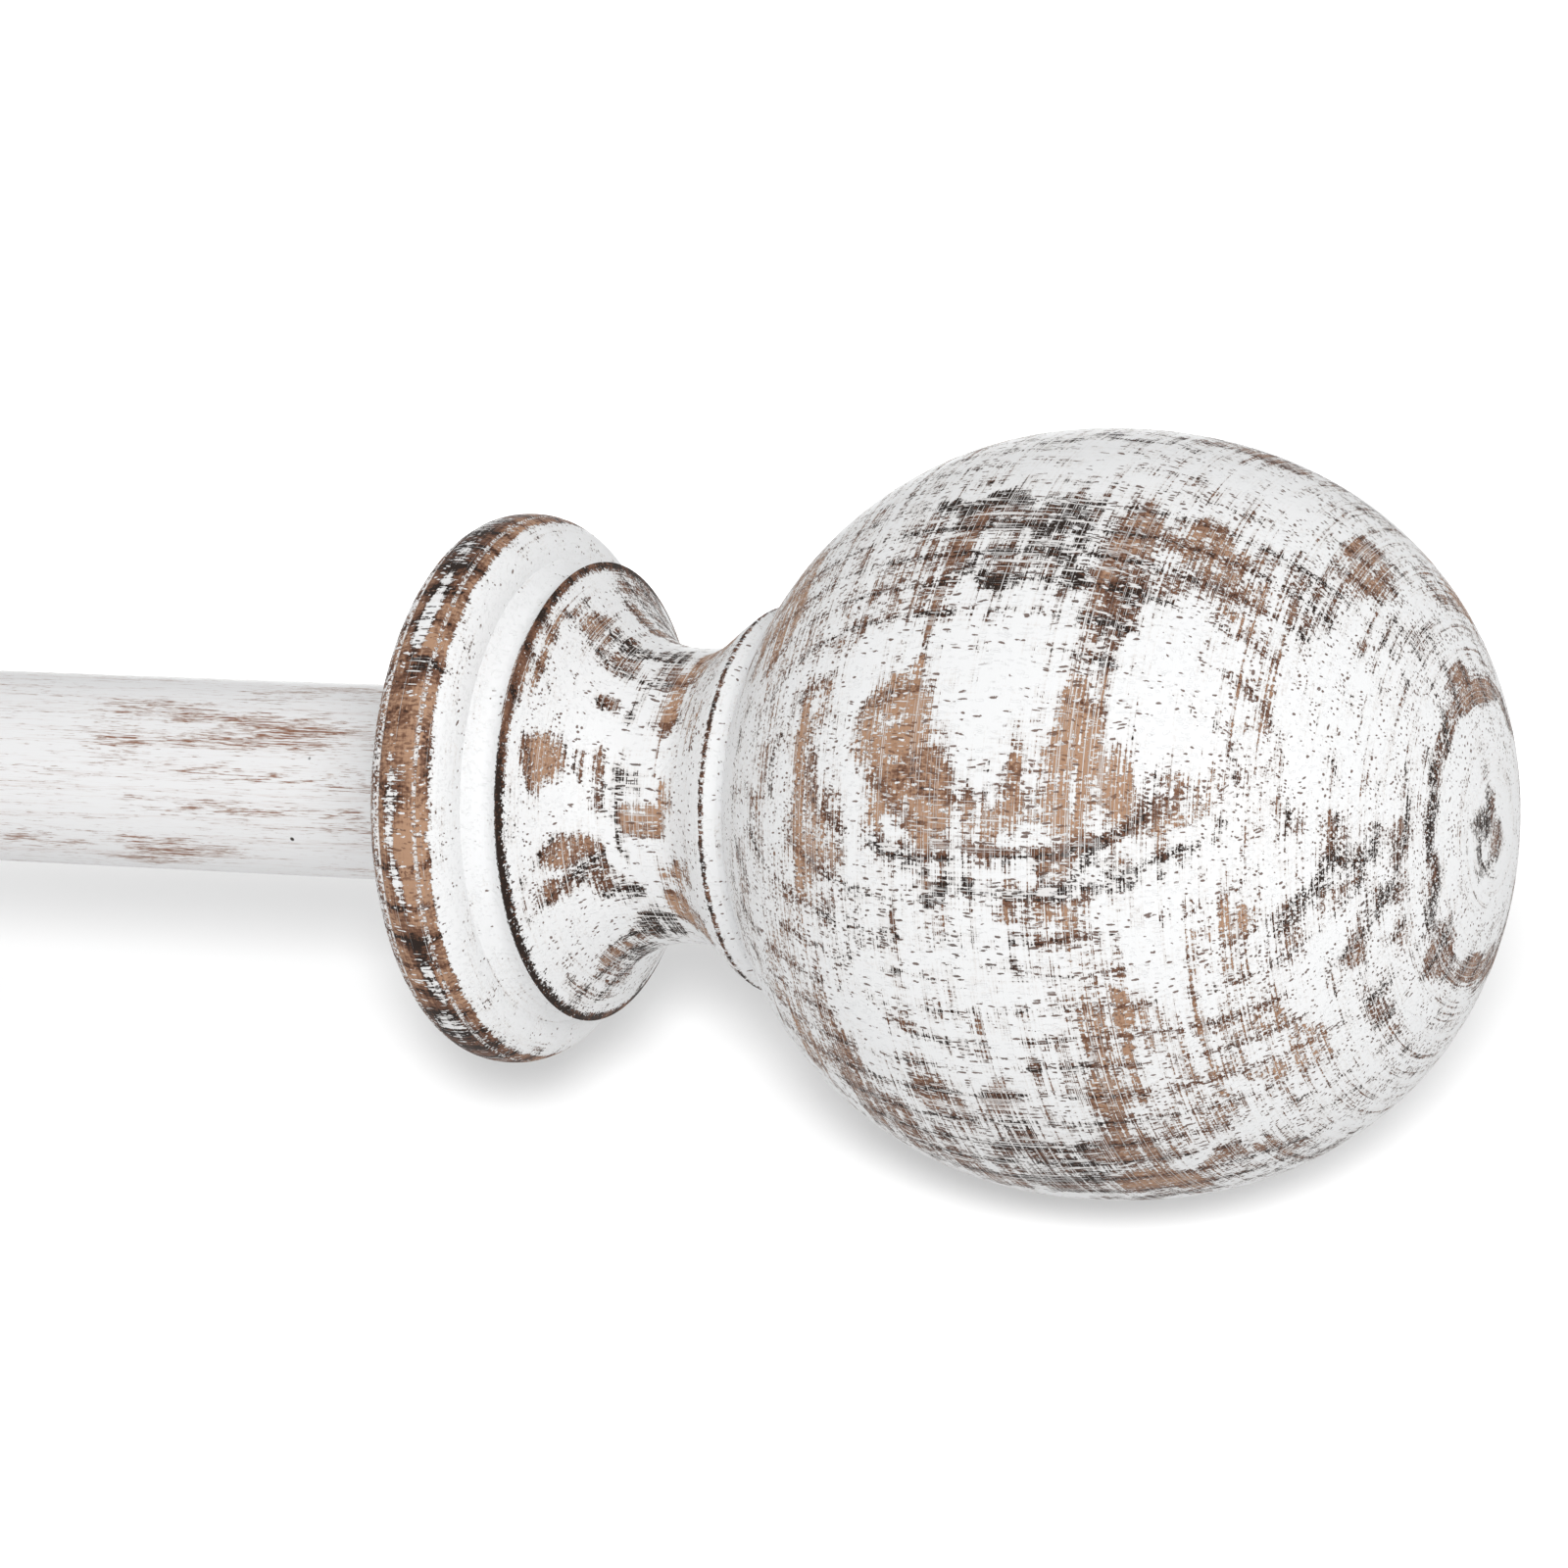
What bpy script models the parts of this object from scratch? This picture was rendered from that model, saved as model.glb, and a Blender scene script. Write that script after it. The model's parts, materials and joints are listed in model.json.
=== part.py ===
"""Telescopic curtain rod with turned wooden ball finials, on two wall brackets of adjustable projection.

The wall is the plane y = 0 and the room is on its -Y side. The rod's axis runs along X at z = 0, +X is the
rod's right end, and x = 0 is midway between the brackets. Every length is in metres.
"""

import math

import bmesh
import bpy
from mathutils import Vector

MM = 0.001

# Driving dimensions
ROD_LENGTH = 711.2 * MM  # 28 in between the backs of the two finials, with the rod closed up
PROJECTION = 83 * MM  # wall to rod axis, with the arms pushed in
BRACKET_X = 225 * MM  # each bracket's distance from the middle of the rod
ARM_Z = 3 * MM  # the arms run a little above the rod's axis, on the flat of the cradles
CLEAR = 0.3 * MM  # gap between pieces that touch
SLIDE_GAP = 0.2 * MM  # gap around the nylon pieces that guide the inner tube

OUTER_TUBE_R = 9.525 * MM  # 3/4 in tube
INNER_TUBE_R = 7.9375 * MM  # 5/8 in tube
TUBE_WALL = 0.7 * MM
OUTER_TUBE_MOUTH_X = -320 * MM
INNER_TUBE_HIDDEN_X = 294.7 * MM
BUSH_REACH = 15 * MM
BUSH_FLANGE = 2 * MM
BUSH_FLANGE_R = 9.9 * MM
GUIDE_COLLAR = 6 * MM
GUIDE_REACH = 12 * MM
GUIDE_BORE_R = 4 * MM

PLUG_LENGTH = 20 * MM
PLUG_LIP = 1.2 * MM
INSERT_R = 4.2 * MM
INSERT_LENGTH = 9.9 * MM

STUD_R = 3 * MM  # M6 hanger bolt
STUD_MACHINE_END = 11.5 * MM
STUD_WOOD_END = 25 * MM
STUD_POINT = 5 * MM
STUD_POINT_R = STUD_R / 4

FLANGE_THICK = 8.75 * MM
FLANGE_BACK_R = 22.3 * MM
FLANGE_RIM_R = 26.45 * MM
FLANGE_ROUNDING = 2.2  # exponent of the rim's rounding: 2 is an ellipse, more is squarer
COVE_DEPTH = 1.2 * MM
BELL_EDGE = (12.3 * MM, 22.0 * MM)  # distance from the finial's back face, radius
BELL_MIDDLE = (16.7 * MM, 16.15 * MM)
NECK = (24.8 * MM, 14.1 * MM)
COLLAR_EDGE = (31.5 * MM, 18.25 * MM)
COLLAR_WIDTH = 2 * MM
BELL_SLOPES = (-1.62, -0.9, 0.0, 0.54)  # radius gained per length at those four stations
BALL_CENTRE = 64.7 * MM
BALL_R = 35.6 * MM
BALL_BACK = 35.6 * MM
BALL_FRONT = 37.5 * MM
BALL_BACK_ROUNDING = 2.06
BALL_FRONT_ROUNDING = 2.18

PLATE_WIDTH = 26 * MM
PLATE_HEIGHT = 76 * MM
PLATE_THICK = 3 * MM
PLATE_ROUNDING = 0.8 * MM
WALL_SCREW_SPACING = 52 * MM
WALL_SCREW_LENGTH = 36 * MM
WALL_SCREW_R = 2.1 * MM
WALL_SCREW_HEAD_R = 4.2 * MM
WALL_SCREW_POINT = 6 * MM
WALL_SCREW_TIP = 0.25 * MM
RECESS_REACH = 0.55  # the driver recess, as shares of the screw's head radius
RECESS_HALF_WIDTH = 0.12
RECESS_DEPTH = 1.3 * MM
RECESS_NARROWING = 0.55

ARM_R = 5 * MM
SLEEVE_R = 8 * MM
SLEEVE_LENGTH = 40 * MM
BOSS_R = 5 * MM
BOSS_HOLE_REACH = 4 * MM  # how far a boss's hole goes in past the surface that the boss hangs from
SLEEVE_BOSS_Y = -36 * MM
SLEEVE_BOSS_HEIGHT = 4.5 * MM
ARM_BACK_Y = -5 * MM

CRADLE_WIDTH = 16 * MM
CRADLE_THICK = 2.5 * MM
CRADLE_R = 9.9 * MM  # inside radius
CRADLE_BACK_TOP = 10.5 * MM
CRADLE_FRONT_TOP = 5 * MM
CRADLE_BOSS_HEIGHT = 5 * MM
CRADLE_SCREW_LENGTH = 11 * MM
CRADLE_SCREW_HEAD_R = 4 * MM
EDGE_BREAK = 0.4 * MM

M4_R = 2 * MM
KNOB_R = 6.5 * MM
KNOB_HEIGHT = 8 * MM
KNOB_STANDOFF = 2 * MM
KNOB_SOCKET = 5 * MM
KNOB_FLUTES = 12
KNOB_FLUTE_DEPTH = 0.45 * MM
KNOB_RIM = 0.6 * MM
KNOB_END_SCALE = 0.93  # the knob's radius at its two faces, as a share of its full radius
CUT_MARGIN = 1 * MM  # how far a cutter stands out of what it cuts

SEGMENTS = 32
FINIAL_SEGMENTS = 24
SCREW_SEGMENTS = 16
RIM_STEPS = 8
COVE_STEPS = 3
BELL_STEPS = 4
BALL_STEPS = 8
PLATE_END_STEPS = 12
CRADLE_STEPS = 14

RIGHT = Vector((1, 0, 0))
LEFT = Vector((-1, 0, 0))
ROOM = Vector((0, -1, 0))
WALL = Vector((0, 1, 0))
DOWN = Vector((0, 0, -1))


def clear_scene():
    for obj in list(bpy.data.objects):
        bpy.data.objects.remove(obj)


def finish(name, color, roughness, metallic):
    material = bpy.data.materials.new(name)
    material.use_nodes = True
    shader = material.node_tree.nodes["Principled BSDF"]
    shader.inputs["Base Color"].default_value = (*color, 1.0)
    shader.inputs["Roughness"].default_value = roughness
    shader.inputs["Metallic"].default_value = metallic
    return material


def finishes():
    return {
        "washed_wood": finish("washed_wood", (0.78, 0.71, 0.65), 0.6, 0.0),
        "washed_steel": finish("washed_steel", (0.80, 0.78, 0.76), 0.45, 0.0),
        "nylon": finish("nylon", (0.83, 0.82, 0.78), 0.5, 0.0),
        "zinc_steel": finish("zinc_steel", (0.62, 0.63, 0.64), 0.35, 1.0),
        "brass": finish("brass", (0.72, 0.55, 0.27), 0.35, 1.0),
    }


def empty(name, world, parent=None):
    holder = bpy.data.objects.new(name, None)
    bpy.context.scene.collection.objects.link(holder)
    attach(holder, parent, world)
    return holder


def world_of(obj):
    """Where an unrotated holder stands in the world."""
    place = Vector(obj.location)
    while obj.parent:
        obj = obj.parent
        place += obj.location
    return place


def attach(obj, parent, world):
    obj.parent = parent
    obj.location = Vector(world) - (world_of(parent) if parent else Vector())


def add_object(name, bm, material, parent, world, direction=RIGHT):
    """Makes the mesh an object whose own +X axis points along direction."""
    bmesh.ops.recalc_face_normals(bm, faces=bm.faces)
    mesh = bpy.data.meshes.new(name)
    bm.to_mesh(mesh)
    bm.free()
    mesh.shade_smooth()
    mesh.set_sharp_from_angle(angle=math.radians(32))
    if material:
        mesh.materials.append(material)
    obj = bpy.data.objects.new(name, mesh)
    bpy.context.scene.collection.objects.link(obj)
    obj.rotation_mode = "QUATERNION"
    obj.rotation_quaternion = RIGHT.rotation_difference(direction)
    attach(obj, parent, world)
    return obj


def spun(outline, closed, segments):
    """A mesh turned about X from (distance along the axis, radius) points."""
    bm = bmesh.new()
    verts = [bm.verts.new((along, 0, radius)) for along, radius in outline]
    pairs = list(zip(verts, verts[1:]))
    if closed:
        pairs.append((verts[-1], verts[0]))
    edges = [bm.edges.new(pair) for pair in pairs]
    bmesh.ops.spin(
        bm,
        geom=verts + edges,
        cent=(0, 0, 0),
        axis=(1, 0, 0),
        angle=2 * math.pi,
        steps=segments,
    )
    bmesh.ops.remove_doubles(bm, verts=bm.verts, dist=0.002 * MM)
    return bm


def lofted(loops):
    """A closed mesh through loops of equally many points, with a face on the first and on the last."""
    bm = bmesh.new()
    rings = [[bm.verts.new(point) for point in loop] for loop in loops]
    bm.faces.new(rings[0])
    bm.faces.new(list(reversed(rings[-1])))
    for lower, upper in zip(rings, rings[1:]):
        for i in range(len(lower)):
            j = (i + 1) % len(lower)
            bm.faces.new((lower[j], lower[i], upper[i], upper[j]))
    return bm


def cut(obj, cutter):
    cutter.hide_render = True
    cutter.display_type = "WIRE"
    modifier = obj.modifiers.new("cut_" + cutter.name, "BOOLEAN")
    modifier.operation = "DIFFERENCE"
    modifier.object = cutter


def join(obj, addition):
    addition.hide_render = True
    addition.display_type = "WIRE"
    modifier = obj.modifiers.new("join_" + addition.name, "BOOLEAN")
    modifier.operation = "UNION"
    modifier.object = addition


def ring(start, end, outer, inner):
    """The outline of a plain tube, for spun."""
    return [(start, outer), (end, outer), (end, inner), (start, inner)]


def rod_stock(start, end, radius):
    """The outline of a plain solid bar, for spun."""
    return [(start, 0), (start, radius), (end, radius), (end, 0)]


# ---------------------------------------------------------------- rod


def make_outer_tube(holder, material):
    end = ROD_LENGTH / 2 - PLUG_LIP - 2 * CLEAR
    outline = ring(OUTER_TUBE_MOUTH_X, end, OUTER_TUBE_R, OUTER_TUBE_R - TUBE_WALL)
    add_object("outer_tube", spun(outline, True, SEGMENTS), material, holder, world_of(holder))


def make_inner_tube(holder, material):
    start = -ROD_LENGTH / 2 + PLUG_LIP + 2 * CLEAR
    outline = ring(start, INNER_TUBE_HIDDEN_X, INNER_TUBE_R, INNER_TUBE_R - TUBE_WALL)
    add_object("inner_tube", spun(outline, True, SEGMENTS), material, holder, world_of(holder))


def make_mouth_bush(holder, material):
    """A nylon collar pushed into the outer tube's mouth, which the inner tube slides through."""
    bore = INNER_TUBE_R + SLIDE_GAP
    shoulder = OUTER_TUBE_MOUTH_X - CLEAR
    outline = [
        (shoulder - BUSH_FLANGE, bore),
        (shoulder - BUSH_FLANGE, BUSH_FLANGE_R - EDGE_BREAK),
        (shoulder - BUSH_FLANGE + EDGE_BREAK, BUSH_FLANGE_R),
        (shoulder, BUSH_FLANGE_R),
        (shoulder, OUTER_TUBE_R - TUBE_WALL - SLIDE_GAP),
        (shoulder + BUSH_REACH, OUTER_TUBE_R - TUBE_WALL - SLIDE_GAP),
        (shoulder + BUSH_REACH, bore),
    ]
    add_object("mouth_bush", spun(outline, True, SEGMENTS), material, holder, world_of(holder))


def make_inner_guide(holder, material):
    """A nylon guide on the inner tube's hidden end, which keeps it centred in the outer tube."""
    collar = INNER_TUBE_HIDDEN_X + CLEAR
    outline = [
        (collar - GUIDE_REACH, GUIDE_BORE_R),
        (collar - GUIDE_REACH, INNER_TUBE_R - TUBE_WALL - CLEAR),
        (collar, INNER_TUBE_R - TUBE_WALL - CLEAR),
        (collar, OUTER_TUBE_R - TUBE_WALL - SLIDE_GAP),
        (collar + GUIDE_COLLAR, OUTER_TUBE_R - TUBE_WALL - SLIDE_GAP),
        (collar + GUIDE_COLLAR, GUIDE_BORE_R),
    ]
    add_object("inner_guide", spun(outline, True, SEGMENTS), material, holder, world_of(holder))


def make_end_fittings(side, outwards, tube_radius, holder, look):
    """The nylon plug in a tube's end and the brass insert that the finial's stud screws into.

    Distances run outwards from the finial's back face.
    """
    back_face = world_of(holder) + outwards * (ROD_LENGTH / 2)
    lip_face = -CLEAR
    lip_root = lip_face - PLUG_LIP
    deep_end = lip_root - PLUG_LENGTH
    body_radius = tube_radius - TUBE_WALL - CLEAR
    pocket_radius = INSERT_R + CLEAR
    pocket_end = lip_face - INSERT_LENGTH - 2 * CLEAR
    bore = STUD_R + CLEAR
    plug = [
        (deep_end, bore),
        (deep_end, body_radius - 2 * EDGE_BREAK),
        (deep_end + 3 * EDGE_BREAK, body_radius),
        (lip_root, body_radius),
        (lip_root, tube_radius),
        (lip_face, tube_radius),
        (lip_face, pocket_radius),
        (pocket_end, pocket_radius),
        (pocket_end, bore),
    ]
    add_object(
        side + "_end_plug",
        spun(plug, True, SEGMENTS),
        look["nylon"],
        holder,
        back_face,
        outwards,
    )
    insert = ring(lip_face - CLEAR - INSERT_LENGTH, lip_face - CLEAR, INSERT_R, bore)
    add_object(
        side + "_plug_insert",
        spun(insert, True, SEGMENTS),
        look["brass"],
        holder,
        back_face,
        outwards,
    )


# ---------------------------------------------------------------- finials


def rounded_rim(steps):
    """The flange's rim: a superellipse from its back face to its front shoulder."""
    points = []
    for i in range(steps + 1):
        place = i / steps
        bulge = (1 - abs(2 * place - 1) ** FLANGE_ROUNDING) ** (1 / FLANGE_ROUNDING)
        radius = FLANGE_BACK_R + (FLANGE_RIM_R - FLANGE_BACK_R) * bulge
        points.append((place * FLANGE_THICK, radius))
    return points


def cove(steps):
    """The shallow hollow between the flange's front shoulder and the bell's edge, without its ends."""
    points = []
    for i in range(1, steps):
        place = i / steps
        along = FLANGE_THICK + (BELL_EDGE[0] - FLANGE_THICK) * place
        straight = FLANGE_BACK_R + (BELL_EDGE[1] - FLANGE_BACK_R) * place
        points.append((along, straight - COVE_DEPTH * math.sin(math.pi * place)))
    return points


def hermite(start, end, start_slope, end_slope, steps):
    """Points of a cubic from start up to, but without, end."""
    length = end[0] - start[0]
    points = []
    for i in range(steps):
        t = i / steps
        radius = (
            (2 * t**3 - 3 * t**2 + 1) * start[1]
            + (t**3 - 2 * t**2 + t) * length * start_slope
            + (3 * t**2 - 2 * t**3) * end[1]
            + (t**3 - t**2) * length * end_slope
        )
        points.append((start[0] + t * length, radius))
    return points


def ball(start, steps_back, steps_front):
    """The ball from where it leaves the collar to its tip, a little longer and flatter in front."""
    points = []
    first = math.asin((start - BALL_CENTRE) / BALL_BACK)
    for i in range(steps_back):
        angle = first * (1 - i / steps_back)
        reach = abs(math.sin(angle))
        radius = BALL_R * (1 - reach**BALL_BACK_ROUNDING) ** (1 / BALL_BACK_ROUNDING)
        points.append((BALL_CENTRE - reach * BALL_BACK, radius))
    for i in range(steps_front):
        reach = math.sin(math.pi / 2 * i / steps_front)
        radius = BALL_R * (1 - reach**BALL_FRONT_ROUNDING) ** (1 / BALL_FRONT_ROUNDING)
        points.append((BALL_CENTRE + reach * BALL_FRONT, radius))
    points.append((BALL_CENTRE + BALL_FRONT, 0))
    return points


def finial_outline():
    bore = STUD_R + CLEAR
    drill_point = [(STUD_WOOD_END + bore / 2 + CLEAR, 0), (STUD_WOOD_END + CLEAR, bore), (0, bore)]
    stations = (BELL_EDGE, BELL_MIDDLE, NECK, COLLAR_EDGE)
    bell = []
    for i in range(3):
        slopes = BELL_SLOPES[i : i + 2]
        bell += hermite(stations[i], stations[i + 1], slopes[0], slopes[1], BELL_STEPS)
    collar = [COLLAR_EDGE]
    head = ball(COLLAR_EDGE[0] + COLLAR_WIDTH, BALL_STEPS, BALL_STEPS)
    return drill_point + rounded_rim(RIM_STEPS) + cove(COVE_STEPS) + bell + collar + head


def make_finial(side, outwards, holder, stud_holder, look):
    """One turned piece of wood, and the steel hanger bolt that it is screwed onto."""
    back_face = world_of(holder)
    add_object(
        side + "_finial",
        spun(finial_outline(), False, FINIAL_SEGMENTS),
        look["washed_wood"],
        holder,
        back_face,
        outwards,
    )
    stud = [
        (-STUD_MACHINE_END, 0),
        (-STUD_MACHINE_END, STUD_R - EDGE_BREAK),
        (-STUD_MACHINE_END + EDGE_BREAK, STUD_R),
        (STUD_WOOD_END - STUD_POINT, STUD_R),
        (STUD_WOOD_END, STUD_POINT_R),
        (STUD_WOOD_END, 0),
    ]
    add_object(
        side + "_finial_stud",
        spun(stud, False, SCREW_SEGMENTS),
        look["zinc_steel"],
        stud_holder,
        back_face,
        outwards,
    )


# ---------------------------------------------------------------- screws


def cross_recess(name, head_radius, holder, world, direction):
    """A cutter in the shape of a cross-head driver, pointing along direction."""
    reach = RECESS_REACH * head_radius
    width = RECESS_HALF_WIDTH * head_radius
    outline = [
        (width, reach),
        (-width, reach),
        (-width, width),
        (-reach, width),
        (-reach, -width),
        (-width, -width),
        (-width, -reach),
        (width, -reach),
        (width, -width),
        (reach, -width),
        (reach, width),
        (width, width),
    ]
    outside = [(-RECESS_DEPTH, y, z) for y, z in outline]
    inside = [(RECESS_DEPTH, y * RECESS_NARROWING, z * RECESS_NARROWING) for y, z in outline]
    return add_object(name, lofted([outside, inside]), None, holder, world, direction)


def countersunk_outline(head_radius, shank_radius, length, point):
    """Distances run from the flat of the head towards the tip."""
    head = [(0, 0), (0, head_radius), (head_radius - shank_radius, shank_radius)]
    if point:
        tip = [(length - point, shank_radius), (length - WALL_SCREW_TIP, WALL_SCREW_TIP)]
    else:
        tip = [(length - EDGE_BREAK, shank_radius), (length, shank_radius - EDGE_BREAK)]
    return head + tip + [(length, 0)]


def make_countersunk_screw(name, head_radius, shank_radius, length, point, holder, world, direction, look):
    outline = countersunk_outline(head_radius, shank_radius, length, point)
    screw = add_object(
        name,
        spun(outline, False, SCREW_SEGMENTS),
        look["zinc_steel"],
        holder,
        world,
        direction,
    )
    cut(screw, cross_recess(name + "_recess", head_radius, holder, world, direction))


def countersink(name, head_radius, shank_radius, length, holder, world, direction):
    """The hole for a countersunk screw, as a cutter that starts above the surface."""
    head_height = head_radius - shank_radius
    outline = [
        (-CUT_MARGIN, 0),
        (-CUT_MARGIN, head_radius),
        (0, head_radius),
        (head_height, shank_radius),
        (length, shank_radius),
        (length, 0),
    ]
    return add_object(name, spun(outline, False, SCREW_SEGMENTS), None, holder, world, direction)


def fluted_loop(along, scale):
    points = []
    for i in range(3 * KNOB_FLUTES):
        angle = 2 * math.pi * i / (3 * KNOB_FLUTES)
        in_flute = i % 3 == 0
        radius = (KNOB_R - (KNOB_FLUTE_DEPTH if in_flute else 0)) * scale
        points.append((along, radius * math.cos(angle), radius * math.sin(angle)))
    return points


def make_thumb_screw(stem, tip_world, boss_end, holders, look):
    """A screw that points up at what it grips, and the fluted knob on its lower end.

    Distances run down from the screw's tip; boss_end is where the screw leaves its boss.
    """
    knob_top = boss_end + KNOB_STANDOFF
    screw_end = knob_top + KNOB_SOCKET
    screw = [
        (0, 0),
        (0, M4_R - EDGE_BREAK),
        (EDGE_BREAK, M4_R),
        (screw_end, M4_R),
        (screw_end, 0),
    ]
    screw_holder = holders[0]
    knob_holder = holders[1]
    add_object(
        stem + "_screw",
        spun(screw, False, SCREW_SEGMENTS),
        look["zinc_steel"],
        screw_holder,
        tip_world,
        DOWN,
    )
    levels = (
        (knob_top, KNOB_END_SCALE),
        (knob_top + KNOB_RIM, 1),
        (knob_top + KNOB_HEIGHT - KNOB_RIM, 1),
        (knob_top + KNOB_HEIGHT, KNOB_END_SCALE),
    )
    loops = [fluted_loop(along, scale) for along, scale in levels]
    knob = add_object(stem + "_knob", lofted(loops), look["washed_steel"], knob_holder, tip_world, DOWN)
    socket = rod_stock(knob_top - CUT_MARGIN, screw_end + CLEAR, M4_R + CLEAR)
    cutter = add_object(
        stem + "_knob_socket", spun(socket, False, SCREW_SEGMENTS), None, knob_holder, tip_world, DOWN
    )
    cut(knob, cutter)


# ---------------------------------------------------------------- brackets


def stadium(depth, inset, steps):
    """The wall plate's outline: straight sides and half-round ends."""
    radius = PLATE_WIDTH / 2
    centre = PLATE_HEIGHT / 2 - radius
    points = []
    for end in (1, -1):
        for i in range(steps + 1):
            angle = math.pi * i / steps + (0 if end == 1 else math.pi)
            points.append(
                (
                    depth,
                    (radius - inset) * math.cos(angle),
                    end * centre + (radius - inset) * math.sin(angle),
                )
            )
    return points


def make_wall_plate(side, holder, look):
    world = world_of(holder)
    loops = [
        stadium(0, 0, PLATE_END_STEPS),
        stadium(PLATE_THICK - PLATE_ROUNDING, 0, PLATE_END_STEPS),
        stadium(PLATE_THICK, PLATE_ROUNDING, PLATE_END_STEPS),
    ]
    plate = add_object(side + "_wall_plate", lofted(loops), look["washed_steel"], holder, world, ROOM)
    for level, sign in (("upper", 1), ("lower", -1)):
        name = side + "_" + level + "_wall_screw"
        head = world + Vector((0, -PLATE_THICK, sign * WALL_SCREW_SPACING / 2))
        hole = countersink(
            name + "_hole",
            WALL_SCREW_HEAD_R + 2 * CLEAR,
            WALL_SCREW_R + 2 * CLEAR,
            2 * PLATE_THICK,
            holder,
            head,
            WALL,
        )
        cut(plate, hole)
        make_countersunk_screw(
            name,
            WALL_SCREW_HEAD_R,
            WALL_SCREW_R,
            WALL_SCREW_LENGTH,
            WALL_SCREW_POINT,
            holder,
            head + Vector((0, CLEAR / 2, 0)),
            WALL,
            look,
        )


def threaded_boss(stem, inner_end, height, holder, world):
    """A round boss that hangs below world, reaching inner_end into what it joins, and its hole's cutter."""
    boss = add_object(
        stem + "_boss",
        spun(rod_stock(-inner_end, height, BOSS_R), False, SCREW_SEGMENTS),
        None,
        holder,
        world,
        DOWN,
    )
    hole = add_object(
        stem + "_boss_hole",
        spun(rod_stock(-BOSS_HOLE_REACH, height + CUT_MARGIN, M4_R + CLEAR), False, SCREW_SEGMENTS),
        None,
        holder,
        world,
        DOWN,
    )
    return boss, hole


def make_sleeve(side, holder, screw_holders, look):
    """The tube on the wall plate that the arm slides in, with the boss of its thumb screw underneath."""
    world = world_of(holder)
    bore = ARM_R + CLEAR
    start = PLATE_THICK + CLEAR
    mouth = start + SLEEVE_LENGTH
    # The bore is cut last, so that the boss does not reach into it.
    outline = [
        (start, 0),
        (start, SLEEVE_R),
        (mouth - EDGE_BREAK, SLEEVE_R),
        (mouth, SLEEVE_R - EDGE_BREAK),
        (mouth, 0),
    ]
    sleeve = add_object(
        side + "_sleeve", spun(outline, False, SEGMENTS), look["washed_steel"], holder, world, ROOM
    )
    under = world + Vector((0, SLEEVE_BOSS_Y, -SLEEVE_R))
    wall = SLEEVE_R - bore
    boss, hole = threaded_boss(side + "_sleeve", 2 * wall, SLEEVE_BOSS_HEIGHT, holder, under)
    through = add_object(
        side + "_sleeve_bore",
        spun(rod_stock(start - CUT_MARGIN, mouth + CUT_MARGIN, bore), False, SEGMENTS),
        None,
        holder,
        world,
        ROOM,
    )
    join(sleeve, boss)
    cut(sleeve, through)
    cut(sleeve, hole)
    tip = world + Vector((0, SLEEVE_BOSS_Y, -bore))
    boss_end = wall + SLEEVE_BOSS_HEIGHT
    make_thumb_screw(side + "_projection", tip, boss_end, screw_holders, look)


def make_arm_bar(side, holder, look):
    """The round bar that slides in the sleeve, drilled at its room end for the cradle's screw."""
    world = world_of(holder)
    front = PROJECTION - CRADLE_R - CRADLE_THICK - CLEAR
    back = -ARM_BACK_Y
    hole_end = front - CRADLE_SCREW_LENGTH
    bore = M4_R + CLEAR
    outline = [
        (back, 0),
        (back, ARM_R - EDGE_BREAK),
        (back + EDGE_BREAK, ARM_R),
        (front, ARM_R),
        (front, bore),
        (hole_end, bore),
        (hole_end - bore / 2, 0),
    ]
    arm_root = Vector((world.x, 0, ARM_Z))
    add_object(
        side + "_arm_bar", spun(outline, False, SEGMENTS), look["washed_steel"], holder, arm_root, ROOM
    )


def cradle_section(steps):
    """The cradle's strap seen along the rod: (y, z) from the back leg's top, round below, to the front's."""
    outer = CRADLE_R + CRADLE_THICK
    points = [(CRADLE_R, CRADLE_BACK_TOP), (outer, CRADLE_BACK_TOP)]
    for i in range(steps + 1):
        angle = -math.pi * i / steps
        points.append((outer * math.cos(angle), outer * math.sin(angle)))
    points += [(-outer, CRADLE_FRONT_TOP), (-CRADLE_R, CRADLE_FRONT_TOP)]
    for i in range(steps + 1):
        angle = -math.pi + math.pi * i / steps
        points.append((CRADLE_R * math.cos(angle), CRADLE_R * math.sin(angle)))
    return points


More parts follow.
